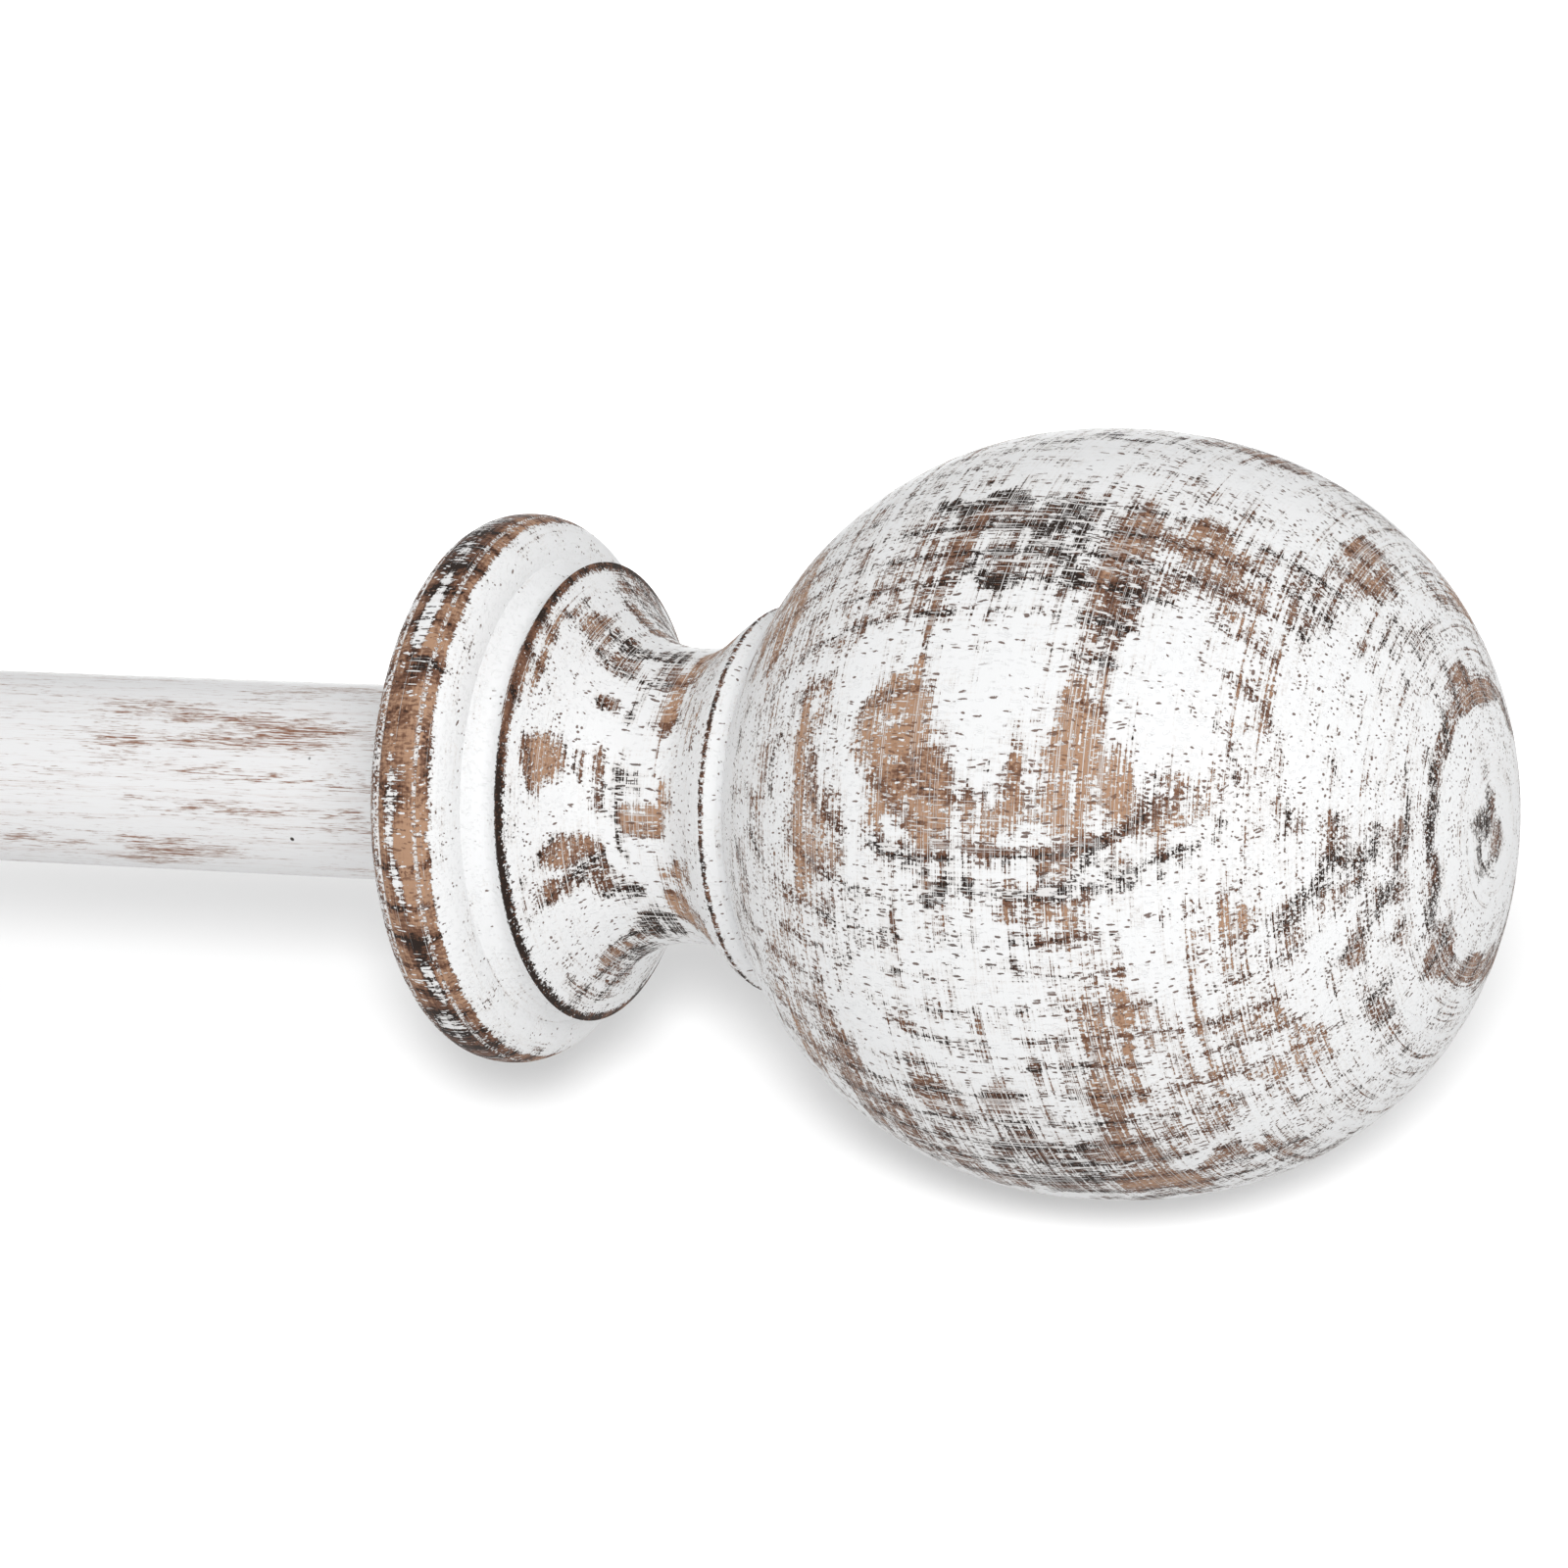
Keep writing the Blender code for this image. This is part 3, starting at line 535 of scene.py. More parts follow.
# Patches: distance from the back face (mm), angle (degrees), half length along the axis (mm), half width
# round it (degrees, or over 360 for all the way), how bare (under 0 is paint laid over wood), how dark.
BASE_PATCHES = (
    (1.4, 0, 1.1, 400, 0.5, 0.35), (3.6, -20, 0.9, 30, 0, 0.55), (3.8, 15, 1.2, 26, 0, 0.35),
    (5.6, 10, 1.2, 34, 0, 0.12), (6, -38, 1, 24, 0, 0.25), (4.4, -66, 2.6, 20, 0, 0.86),
    (4, 64, 2, 22, 0, 0.86), (6.6, 50, 0.9, 28, 0, 0.4), (5, 98, 2.4, 14, 0, 0.7),
    (4.4, 28, 2.4, 3, 0, 0.8), (4.4, -28, 2.4, 5, 0, 0.8), (4, 74, 0.8, 9, -0.45, 0.8),
    (3.9, 58, 0.7, 6, -0.4, 0.8), (4.1, 42, 0.8, 8, -0.62, 0.9), (4.4, 4, 0.8, 8, -0.6, 0.4),
    (4.4, -12, 0.8, 8, -0.58, 0.5), (4.2, -37, 0.9, 7, -0.64, 0.9), (4.2, -54, 0.7, 7, -0.48, 0.9),
    (12.4, 45, 1, 22, 0, 0.45), (12.4, -30, 1, 50, 0, 0.85), (12.9, 38, 0.7, 26, 0.7, 0.35),
    (13.2, 112, 1.4, 14, 0.6, 0.5), (13.2, -70, 1.2, 12, 0.35, 0.5), (15.5, 66, 1.8, 8, 0.66, 0.35),
    (18.5, 62, 2, 8, 0.66, 0.55), (19.5, 72, 3.4, 5, 0.75, 0.95), (22.5, 73, 1.8, 8, 0.75, 0.9),
    (23, 58, 1.4, 10, 0.72, 0.65), (24.4, 44, 1.3, 18, 0.7, 0.25), (19, 40, 0.8, 4, 0.7, 0.5),
    (21.3, 41, 0.8, 10, 0.46, 0.9), (15, 14, 0.7, 12, 0.66, 0.25), (16.7, 18, 0.6, 8, 0.45, 0.35),
    (18.9, 15, 1, 9, 0.7, 0.5), (18.8, 3, 0.9, 6, 0.55, 0.6), (20.7, 4, 1.1, 12, 0.44, 0.95),
    (22.5, 9, 1, 8, 0.48, 0.85), (23.5, -3, 1.8, 8, 0.74, 0.25), (21.5, -12, 0.7, 12, 0.6, 1),
    (17.3, -15, 2.2, 6, 0.66, 0.4), (16.5, -27, 2, 6, 0.66, 0.45), (18.8, -27, 1.6, 7, 0.66, 0.65),
    (20.8, -33, 1.4, 7, 0.5, 1), (22.8, -54, 1.8, 14, 0.62, 0.95), (20, -62, 2.4, 6, 0.7, 0.75),
    (17, -70, 2.6, 8, 0.66, 0.45), (15, -80, 2, 10, 0.6, 0.6), (18.5, -82, 2, 8, 0.55, 0.85),
    (17, 95, 3.2, 7, 0.6, 0.4), (14, 105, 1.6, 12, 0.55, 0.5), (26.2, 6, 1.4, 8, 0.62, 0.05),
    (27, -24, 1.8, 8, 0.62, 0.08), (27.6, -42, 2.4, 9, 0.62, 0.1), (26.8, 64, 2.2, 12, 0.62, 0.12),
    (28.5, 40, 2.2, 26, 0.36, 0.1), (15.5, 42, 2.2, 14, -0.8, 0.3), (18, 28, 1.8, 5, -0.8, 0.3),
    (22, 26, 2, 6, -0.8, 0.3), (17, -42, 2.6, 6, -0.8, 0.3), (15.5, -2, 2, 7, -0.8, 0.3),
    (10, 0, 1.6, 400, -0.9, 0.3), (34, 0, 1.6, 400, -0.55, 0.3),
)
BALL_PATCHES = (
    (73, 50, 18, 10, 0.42, 0.5), (65, -54, 16, 15, 0.4, 0.5), (46, 0, 3.5, 60, 0.34, 0.25),
    (50, 42, 5, 18, 0.34, 0.35), (84, -34, 8, 16, 0.36, 0.18), (67, 9, 13, 10, 0.42, 0.1),
    (40, 48, 5, 20, 0.5, 0.1), (42, 40, 1.8, 12, 0.56, 0.15), (46.5, 52, 3.5, 18, 0.36, 0.3),
    (52.5, 64, 4, 9, 0.36, 0.55), (43, -28, 3, 18, 0.38, 0.2), (45, -42, 3, 10, 0.44, 0.2),
    (48.5, -3, 2, 12, 0.58, 0.18), (51, 0, 2, 12, 0.46, 0.35), (49.5, -42, 2.4, 20, 0.62, 0.45),
    (52.5, -52, 2.4, 12, 0.58, 0.5), (58, 19, 3.6, 10, 0.64, 0.06), (60, 7, 4, 7, 0.68, 0.12),
    (67, 4, 6, 4, 0.6, 0.2), (69.5, 11, 1.4, 5, 0.6, 0.1), (75.3, 17, 2.4, 15, 0.66, 0.06),
    (77, 9, 4, 6, 0.66, 0.12), (82, 6, 3, 4, 0.54, 0.18), (84, 10, 3, 5, 0.46, 0.15),
    (62, -1, 3.5, 3, 0.46, 0.45), (73.5, 0, 5, 3, 0.5, 0.3), (64, -5, 4.5, 1.5, 0.5, 0.95),
    (76, -3, 6, 1.4, 0.54, 0.9), (73, -8, 6, 3, 0.42, 0.2), (75.2, 36, 1.9, 10, 0.64, 0.62),
    (64, 30, 2, 4, 0.44, 0.3), (72, 48, 19, 11, 0.46, 0.55), (57, 46, 3.2, 12, 0.56, 0.48),
    (54, 38, 3, 8, 0.52, 0.4), (65, 54, 8, 5, 0.62, 0.75), (67, 43, 7, 5, 0.58, 0.65),
    (60, 43, 1.4, 14, 0.7, 0.5), (70, 50, 3, 3, 0.8, 1.05), (60, 57, 4, 2, 0.78, 1.05),
    (73, 44, 4, 2, 0.8, 1.05), (64, 41, 4, 1.5, 0.7, 0.95), (75.5, 46, 2.4, 15, 0.84, 0.48),
    (76.5, 38, 1.8, 7, 0.8, 0.75), (82.5, 53, 5, 7, 0.64, 0.35), (85, 44, 4, 6, 0.56, 0.45),
    (89.5, 52, 3.5, 10, 0.42, 0.6), (92.7, 68, 2.8, 10, 0.56, 0.35), (97, 66, 2.2, 16, 0.36, 0.55),
    (88, 28, 3.2, 20, 0.36, 0.22), (90.5, 12, 1.2, 12, 0.34, 0.3), (94.5, -3, 2.4, 9, 0.46, 0.35),
    (98, 3, 1.6, 10, 0.5, 0.45), (97.5, -15, 1.6, 6, 0.52, 0.7), (96, -26, 1.8, 5, 0.48, 0.5),
    (87, -14, 3, 10, 0.44, 0.12), (92, -12, 1.4, 8, 0.38, 0.3), (74, -13, 4.5, 4, 0.4, 0.3),
    (66, -15, 4, 4, 0.3, 0.7), (55, -12, 4, 8, 0.32, 0.6), (76.5, -28, 3, 14, 0.58, 0.25),
    (82, -28, 5, 8, 0.42, 0.2), (87.5, -30, 3.5, 9, 0.38, 0.25), (59, -43, 3.4, 6, 0.66, 0.52),
    (65, -42, 3, 5, 0.62, 0.5), (75.5, -42, 3, 8, 0.6, 0.3), (84, -42, 5, 7, 0.46, 0.25),
    (81, -52, 4.5, 6, 0.48, 0.3), (91.3, -42, 3, 7, 0.5, 0.12), (96.5, -42, 2, 10, 0.36, 0.55),
    (65.5, -54, 5, 6, 0.62, 0.72), (72, -54, 5, 6, 0.58, 0.78), (75.5, -55, 3.4, 10, 0.72, 0.45),
    (70, -62, 5, 3, 0.66, 0.95), (57, -58, 4, 8, 0.58, 0.58), (60, -66, 3.5, 6, 0.62, 0.48),
    (67.5, -66, 5, 5, 0.64, 0.7), (76, -67, 4.6, 6, 0.84, 0.36), (82, -64, 4, 4, 0.6, 0.3),
    (72, -77, 6, 4, 0.58, 0.62), (84, -70, 5, 8, 0.46, 0.5), (85, -84, 6, 6, 0.4, 0.6),
    (95, -75, 3, 12, 0.32, 0.5), (79.5, 90, 5.5, 5, 0.56, 0.45), (68, 80, 8, 3, 0.44, 0.95),
    (61, 74, 5, 4, 0.36, 0.8), (88, 98, 6, 7, 0.4, 0.45), (96, 98, 2.5, 12, 0.4, 0.35),
    (99.9, 74, 0.5, 18, 0.86, 0.5), (99.9, -50, 0.5, 16, 0.72, 0.5), (81, 25, 3, 14, -0.9, 0.3),
    (67, 26, 4, 7, -0.85, 0.3), (67, 15, 3.5, 4, -0.6, 0.3), (91.5, -2, 2, 5, -0.6, 0.3),
    (54, -27, 4, 7, -0.7, 0.3), (81.5, -13, 2.4, 9, -0.7, 0.3), (68, 69, 6, 6, -0.6, 0.3),
    (83, 76, 5, 6, -0.6, 0.3), (94.5, 28, 3.5, 16, -0.5, 0.3), (86.5, -58, 3, 6, -0.4, 0.3),
    (53, 22, 3, 10, -0.5, 0.3),
)
# Arcs of bare wood along the growth layers: centre (mm, degrees), half axes (mm, degrees), start and end of
# the arc (degrees), half width (mm), how bare, how dark.
ARCS = (
    (70, 15, 15, 15, 190, 350, 0.9, 0.62, 0.5), (70, 15, 11.5, 10, 200, 330, 0.7, 0.6, 0.25),
    (70, 15, 15.5, 16, 120, 200, 1.2, 0.6, 0.2), (70, 15, 19, 21, 215, 330, 0.5, 0.58, 0.9),
    (70, 15, 22.5, 30, 150, 225, 1.3, 0.52, 0.2), (70, 13, 28.5, 40, 305, 350, 1.1, 0.56, 0.8),
    (70, 13, 26, 46, 225, 290, 0.8, 0.5, 0.6),
)
RING_R = 12.8  # the dark ring round the tip
RING_HALF_WIDTH = 1.0
RING_WEAR = 0.78
RING_TONE = 0.95
DISC_PAINT = 0.55  # how much of the bare wood inside the ring is painted over
TIP_X = 101.2  # beyond here the tip has blots of its own
# Blots: how far to the room and how far up from the axis, half size both ways (mm), how bare, how dark.
TIP_BLOTS = (
    (3.2, 1.1, 2.4, 1.3, 0.84, 1), (1.4, 2.8, 1.2, 1.4, 0.72, 0.7), (0, -0.8, 1.6, 1.8, 0.74, 0.55),
    (2.6, -3.2, 2.4, 0.9, 0.54, 0.8), (4.2, -1.4, 0.9, 1.6, 0.66, 1),
)
BALL_WEAR = 0.25  # how bare it is between the patches
BASE_WEAR = 0.12
NECK = (33, 39)  # the wear of the base turns into that of the ball between these distances
RIM_WEAR = 0.92
RIM_BARE = (1.6, 7.3)  # the rim is rubbed bare between these distances from its back face
PLAIN_TONE = 0.34  # how dark the wood is between the patches

# The side that faces the wall has patches strewn beyond FRONT_REACH degrees either side of the room: each
# set's seed, how many, from and to (mm). Its rim has one patch of its own.
FRONT_REACH = 108
HIDDEN_SETS = ((41, 130, 38, 99), (43, 26, 14, 29))
HIDDEN_RIM = (5, 180, 2, 90, 0.8, 0.4)


def scattered(seed, count, start, end):
    """Patches strewn evenly between two distances, over the side that faces the wall."""
    rng = random.Random(seed)
    patches = []
    for _ in range(count):
        tone = rng.choice((0.1, 0.2, 0.35, 0.6, 0.9))
        ranges = ((start, end), (FRONT_REACH, 360 - FRONT_REACH), (1.5, 5.5), (4, 12))
        spot = [rng.uniform(low, high) for low, high in ranges]
        patches.append((*spot, rng.choice((0.36, 0.42, 0.48, 0.56, 0.66)), tone))
    return patches


def ripple(along, angle, seed):
    """A smooth wandering, about -1 to 1, made of a few waves that close round the axis."""
    rng = random.Random(seed)
    total = np.zeros_like(along)
    for _ in range(7):
        pitch = rng.uniform(0.25, 1.1)
        turns = rng.randint(-9, 9)
        total += np.sin(along * pitch + angle * turns + rng.uniform(0, 7)) / 3
    return total


def angle_between(angle, other):
    return (angle - other + 180) % 360 - 180


def lay_patches(patches, along, angle, bare, dark):
    """Adds each patch, its edge wandering a little, and carries its tone with it."""
    shifted = along + 0.7 * ripple(along, np.radians(angle), 3)
    turned_by = angle + 2.5 * ripple(along, np.radians(angle), 5)
    for centre, at, half_length, half_width, amount, tone in patches:
        away = np.hypot((shifted - centre) / half_length, angle_between(turned_by, at) / half_width)
        if half_width > 360:
            away = np.abs(along - centre) / half_length
        share = np.clip((1.6 - away) / 1.1, 0, 1)
        share = share * share * (3 - 2 * share)
        if amount < 0:
            bare *= 1 + amount * share
        else:
            bare[:] = np.maximum(bare, amount * share)
        dark += (tone - dark) * share


def lay_arcs(arcs, along, angle, bare, dark):
    """Adds each arc, thinning out to nothing at its ends."""
    for centre, at, half_length, half_turn, start, end, half_width, amount, tone in arcs:
        across = angle_between(angle, at) / half_turn
        forward = (along - centre) / half_length
        reach = np.hypot(forward, across) + 0.02 * ripple(along, np.radians(angle), 29)
        heading = np.degrees(np.arctan2(across, forward)) % 360
        inside = np.clip((heading - start) / 12, 0, 1) * np.clip((end - heading) / 12, 0, 1)
        share = np.clip(1.6 - np.abs(reach - 1) * half_length / half_width, 0, 1) * inside
        bare[:] = np.maximum(bare, amount * share)
        dark += (tone - dark) * share


def band(values, centre, half_width):
    """1 within half a band's width of its centre, fading to 0 at 1.5 times that."""
    return np.clip(1.5 - np.abs(values - centre) / half_width, 0, 1)


def finial_wear(patches, profile, turn):
    """The wear of a finial as a function of its points, for the washed_wood material."""
    known = np.array([point for point in profile if point[1] > STUD_R + 2 * CLEAR or point[0] > TIP_X])
    lengths = np.concatenate([[0], np.cumsum(np.hypot(*np.diff(known, axis=0).T))])

    def wear(place):
        along = place[:, 0]
        angle = np.degrees(np.arctan2(place[:, 2], -place[:, 1])) + turn
        radius = np.hypot(place[:, 1], place[:, 2])
        on_ball = np.clip((along - NECK[0]) / (NECK[1] - NECK[0]), 0, 1)
        bare = BASE_WEAR + (BALL_WEAR - BASE_WEAR) * on_ball
        bare += 0.05 * ripple(along * 0.5, np.radians(angle), 11)
        on_rim = np.clip((along - RIM_BARE[0]) / 0.5, 0, 1) * np.clip((RIM_BARE[1] - along) / 0.5, 0, 1)
        bare += (RIM_WEAR - bare) * on_rim * (radius > FLANGE_BACK_R)
        dark = np.full(len(along), PLAIN_TONE)
        lay_patches(patches, along, angle, bare, dark)
        lay_arcs(ARCS, along, angle, bare, dark)

        front = along > BALL_CENTRE
        drift = ripple(along, np.radians(angle) * 2, 23)
        leaning = np.sin(np.radians(angle)) ** 2  # the ring is wider and paler above and below the axis
        ring = band(radius + 0.9 * drift, RING_R, RING_HALF_WIDTH * (0.7 + leaning)) * front
        bare[:] = np.maximum(bare, RING_WEAR * ring * (1 + 0.2 * drift))
        dark += (RING_TONE - 0.5 * leaning - dark) * ring
        disc = np.clip((RING_R - 1 - radius) / 1.5, 0, 1) * front
        bare *= 1 - DISC_PAINT * disc
        for roomward, up, half_width, half_height, amount, tone in TIP_BLOTS:
            away = np.hypot((-place[:, 1] - roomward) / half_width, (place[:, 2] - up) / half_height)
            blot = np.clip(1.6 - away, 0, 1) * (along > TIP_X)
            bare[:] = np.maximum(bare, amount * blot)
            dark += (tone - dark) * blot
        s = np.interp(along, known[:, 0], lengths)
        return np.stack([bare, dark, s], axis=1)

    return wear


# ---------------------------------------------------------------- finials

LEFT_TURN = 137  # the left finial is turned by this, so it shows other wear


def rim_points(steps):
    points = []
    for i in range(steps + 1):
        share = (1 - math.cos(math.pi * i / steps)) / 2
        along = share * FLANGE_THICK
        bulge = (1 - abs(2 * share - 1) ** FLANGE_ROUNDING) ** (1 / FLANGE_ROUNDING)
        radius = FLANGE_BACK_R + (FLANGE_RIM_R - FLANGE_BACK_R) * bulge
        for centre in SCRIBED:
            radius -= SCRIBE_DEPTH * max(0.0, 1 - abs(along - centre) / SCRIBE_HALF_WIDTH)
        points.append((along, radius))
    return points


def cove_points(steps):
    end = BELL_STATIONS[0]
    points = []
    for i in range(1, steps):
        share = i / steps
        level = FLANGE_BACK_R + (end[1] - FLANGE_BACK_R) * share
        along = FLANGE_THICK + (end[0] - FLANGE_THICK) * share
        points.append((along, level - COVE_DEPTH * math.sin(math.pi * share)))
    return points


def bell_points(steps):
    points = []
    for i in range(3):
        (x0, r0), (x1, r1) = BELL_STATIONS[i : i + 2]
        m0, m1 = BELL_SLOPES[i : i + 2]
        length = x1 - x0
        for k in range(steps):
            t = k / steps
            start = (2 * t**3 - 3 * t**2 + 1) * r0 + (t**3 - 2 * t**2 + t) * length * m0
            end = (3 * t**2 - 2 * t**3) * r1 + (t**3 - t**2) * length * m1
            points.append((x0 + t * length, start + end))
    return points


def ball_points(start, steps_back, steps_front):
    half, rounding = BALL_BACK
    first = math.asin((BALL_CENTRE - start) / half)
    points = []
    for i in range(steps_back):
        reach = math.sin(first * (1 - i / steps_back))
        points.append((BALL_CENTRE - reach * half, BALL_R * (1 - reach**rounding) ** (1 / rounding)))
    half, rounding = BALL_FRONT
    for i in range(steps_front):
        reach = math.sin(math.pi / 2 * i / steps_front)
        points.append((BALL_CENTRE + reach * half, BALL_R * (1 - reach**rounding) ** (1 / rounding)))
    return points + [(BALL_CENTRE + half, 0)]


def finial_profile():
    bore = STUD_R + CLEAR
    drilled = [(STUD_HOLE + bore / 2, 0), (STUD_HOLE, bore), (0, bore)]
    back = [(0, radius) for radius in spaced(bore + 0.5, FLANGE_BACK_R - 0.5, 1.5)]
    collar_end = BELL_STATIONS[-1][0] + COLLAR_WIDTH
    collar = [BELL_STATIONS[-1], (collar_end - 0.7, 17.85), (collar_end - 0.25, 17.35)]
    turned_part = rim_points(96) + cove_points(14) + bell_points(18) + collar
    return drilled + back + turned_part + ball_points(collar_end, 60, 84)


def add_finials(back_faces):
    profile = finial_profile()
    outline = profile[profile.index((0, STUD_R + CLEAR)) + 1 :]
    shape = turned(profile, FINIAL_SEGMENTS)
    patches = BASE_PATCHES + BALL_PATCHES
    for hidden_set in HIDDEN_SETS:
        patches += tuple(scattered(*hidden_set))
    patches += (HIDDEN_RIM,)
    for (side, direction), turn in zip(SIDES, (0, LEFT_TURN)):
        wear = finial_wear(patches, outline, turn)
        add_piece(side + "_finial", shape, frame_of(back_faces[side], direction), wear=wear)


# ---------------------------------------------------------------- screws


def thread(start, end, pitch, depth):
    """The relief of a V thread, fading in and out over half a turn at its ends."""

    def relief(along, angle):
        fade = min(1.0, max(0.0, (along - start) / (pitch / 2)), max(0.0, (end - along) / (pitch / 2)))
        phase = (along / pitch - angle / (2 * math.pi)) % 1
        return depth * fade * (1 - abs(2 * phase - 1))

    return relief


def recess(head_radius):
    """A cross recess, as a shape to cut from the head."""
    reach, width, depth = 0.55 * head_radius, 0.12 * head_radius, 1.3
    corners = []
    arm = [(width, reach), (-width, reach), (-width, width)]
    for _ in range(4):
        corners += arm
        arm = [(-z, y) for y, z in arm]
    outside = [(-depth, y, z) for y, z in corners]
    inside = [(depth, y * 0.55, z * 0.55) for y, z in corners]
    return lofted([outside, inside])


def countersunk_screw(head_radius, shank_radius, length, pitch, point=0):
    """A screw with a cross recess. point is its tapered point's length, and a machine screw has none."""
    cone = head_radius - shank_radius
    profile = [(0, 0), (0, head_radius - 0.25), (0.12, head_radius - 0.06), (0.3, head_radius)]
    profile += [(cone + 0.3, shank_radius)]
    if point:
        shoulder = length - point
        profile += straight(cone + 1.5, shoulder, shank_radius, pitch / 10)
        for share in spaced(0.04, 0.98, 0.04):
            profile.append((shoulder + point * share, shank_radius * (1 - share) + 0.15 * share))
    else:
        profile += straight(cone + 0.8, length - 0.3, shank_radius, pitch / 10)
        profile += [(length, shank_radius - 0.3)]
    profile += [(length, 0)]
    relief = thread(cone + 1.5, length - 0.4, pitch, pitch * (0.135 if point else 0.42))
    return carved(turned(profile, FINE_SEGMENTS, relief=relief), cuts=[recess(head_radius)])


def add_studs(back_faces):
    """Each finial's hanger bolt: a machine thread in the rod and a wood thread in the finial."""
    back, shoulder, point, end = -11.5, 20, 0.75, 25
    machine = thread(-11.3, -0.5, M6_PITCH, 0.5)
    wood = thread(1.0, 24.5, 2.2, 0.75)

    def relief(along, angle):
        return machine(along, angle) if along < 0 else wood(along, angle) * (0.6 if along > 21 else 1)

    profile = [(back, 0), (back, STUD_R - 0.4)] + straight(back + 0.4, shoulder, STUD_R, M6_PITCH / 10)
    for share in spaced(0.04, 1, 0.04):
        profile.append((shoulder + (end - shoulder) * share, STUD_R + (point - STUD_R) * share))
    profile += [(end, 0)]
    shape = turned(profile, FINE_SEGMENTS, relief=relief)
    for side, direction in SIDES:
        add_piece(side + "_finial_stud", shape, frame_of(back_faces[side], direction))


def add_thumb_screw(stem, tip, boss_end):
    """A screw and its knob. Distances run down from the screw's tip."""
    top = boss_end + 2
    bottom, end = top + 8, top + 5
    to_row = frame_of(tip, DOWN)
    profile = [(0, 0), (0, M4_R - 0.4)] + straight(0.4, end - 0.1, M4_R, M4_PITCH / 10) + [(end, 0)]
    shape = turned(profile, FINE_SEGMENTS, relief=thread(0.2, end, M4_PITCH, 0.38))
    add_piece(stem + "_screw", shape, to_row)

    hole = M4_R + CLEAR
    profile = [(end + CLEAR, 0), (end + CLEAR, hole), (top + 0.3, hole), (top, hole + 0.3), (top, 4.6)]
    profile += [(top + 0.35 - 0.35 * math.sin(a), 4.6 + 0.4 * (1 - math.cos(a))) for a in (0.5, 1.0)]
    profile += [(top + 0.1, 5.6), (top + 0.3, 6.1), (top + 0.8, KNOB_R)]
    profile += straight(top + 1.2, bottom - 1.2, KNOB_R, 0.8)
    profile += [(bottom - 0.8, KNOB_R), (bottom - 0.3, 6.1), (bottom - 0.1, 5.6), (bottom, 5.0)]
    profile += [(bottom, 3.2), (bottom - 0.35, 2.8), (bottom - 0.35, 0)]

    def flutes(along, angle):
        """Twelve finger flutes, only where the knob is at its full width."""
        return 0.45 * max(0.0, math.cos(12 * angle)) ** 2 if top + 0.6 < along < bottom - 0.6 else 0.0

    add_piece(stem + "_knob", turned(profile, KNOB_SEGMENTS, relief=flutes), to_row)


# ---------------------------------------------------------------- rod


def tube_profile(start, end, radius):
    """A tube's closed outline, its ends rounded a little."""
    inner = radius - TUBE_WALL
    lip = TUBE_WALL / 2 - 0.05
    points = [(start, inner + lip), (start, radius - lip), (start + 0.1, radius - 0.1)]
    points += straight(start + 0.3, end - 0.3, radius, TUBE_STEP)
    points += [(end - 0.1, radius - 0.1), (end, radius - lip), (end, inner + lip)]
    return points + straight(end - 0.3, start + 0.3, inner, 40)


# Patches of brown glaze on the tube by the right finial, as those on the finial but without a tone.
GLAZE = (
    (-20, 66, 4, 3, 0.75), (-33, 48, 6, 6, 0.8), (-22, 41, 12, 4, 0.95), (-17, 36, 7, 4, 1),
    (-21, 27, 10, 5, 0.85), (-5, 42, 2.5, 2, 0.95), (-4, 58, 4, 4, 0.75), (-26, 10, 4, 2, 0.9),
    (-19, 5, 9, 1.5, 1), (-25, -14, 8, 3, 0.95), (-19, -15, 4, 2, 1), (-12, -14, 2.5, 2, 0.95),
    (-33, -38, 5, 3, 0.95), (-30, -47, 7, 5, 0.95), (-34, -58, 6, 5, 0.9), (-36, 26, 4, 14, 0.6),
    (-8, -20, 5, 8, 0.45), (-6, -62, 6, 8, 0.55), (-12, 72, 8, 6, 0.6),
)
GLAZE_CLUSTERS = 300
GLAZE_CLEAR = 44  # none are strewn nearer than this to the right finial


def glaze_wear(origin, start, end, seed, placed):
    """Where the glaze gathers: the placed patches near origin, and others strewn along the rest."""
    rng = random.Random(seed)
    patches = [(origin + along, *rest, 0) for along, *rest in placed]
    ranges = ((start, origin - GLAZE_CLEAR if placed else end), (-180, 180), (4, 13), (3, 9), (0.3, 0.85))
    for _ in range(GLAZE_CLUSTERS):
        patches.append((*[rng.uniform(low, high) for low, high in ranges], 0))

    def wear(place):
        along = place[:, 0]
        angle = np.degrees(np.arctan2(place[:, 2], -place[:, 1]))
        bare = np.zeros(len(along))
        lay_patches(patches, along, angle, bare, np.zeros(len(along)))
        return np.stack([bare, bare * 0, along], axis=1)

    return wear


def ends_of(node):
    """Where a piece of the rod starts and ends along the rod."""
    low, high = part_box(node)
    return low.x / MM, high.x / MM


def add_tubes(axis, back_faces):
    tubes = (("outer_tube", OUTER_TUBE_R, 61, GLAZE), ("inner_tube", INNER_TUBE_R, 67, ()))
    for node, radius, seed, placed in tubes:
        start, end = ends_of(node)
        wear = glaze_wear(back_faces["right"].x / MM, start, end, seed, placed)
        shape = turned(tube_profile(start, end, radius), TUBE_SEGMENTS, closed=True)
        add_piece(node, shape, frame_of(axis, RIGHT), wear=wear)


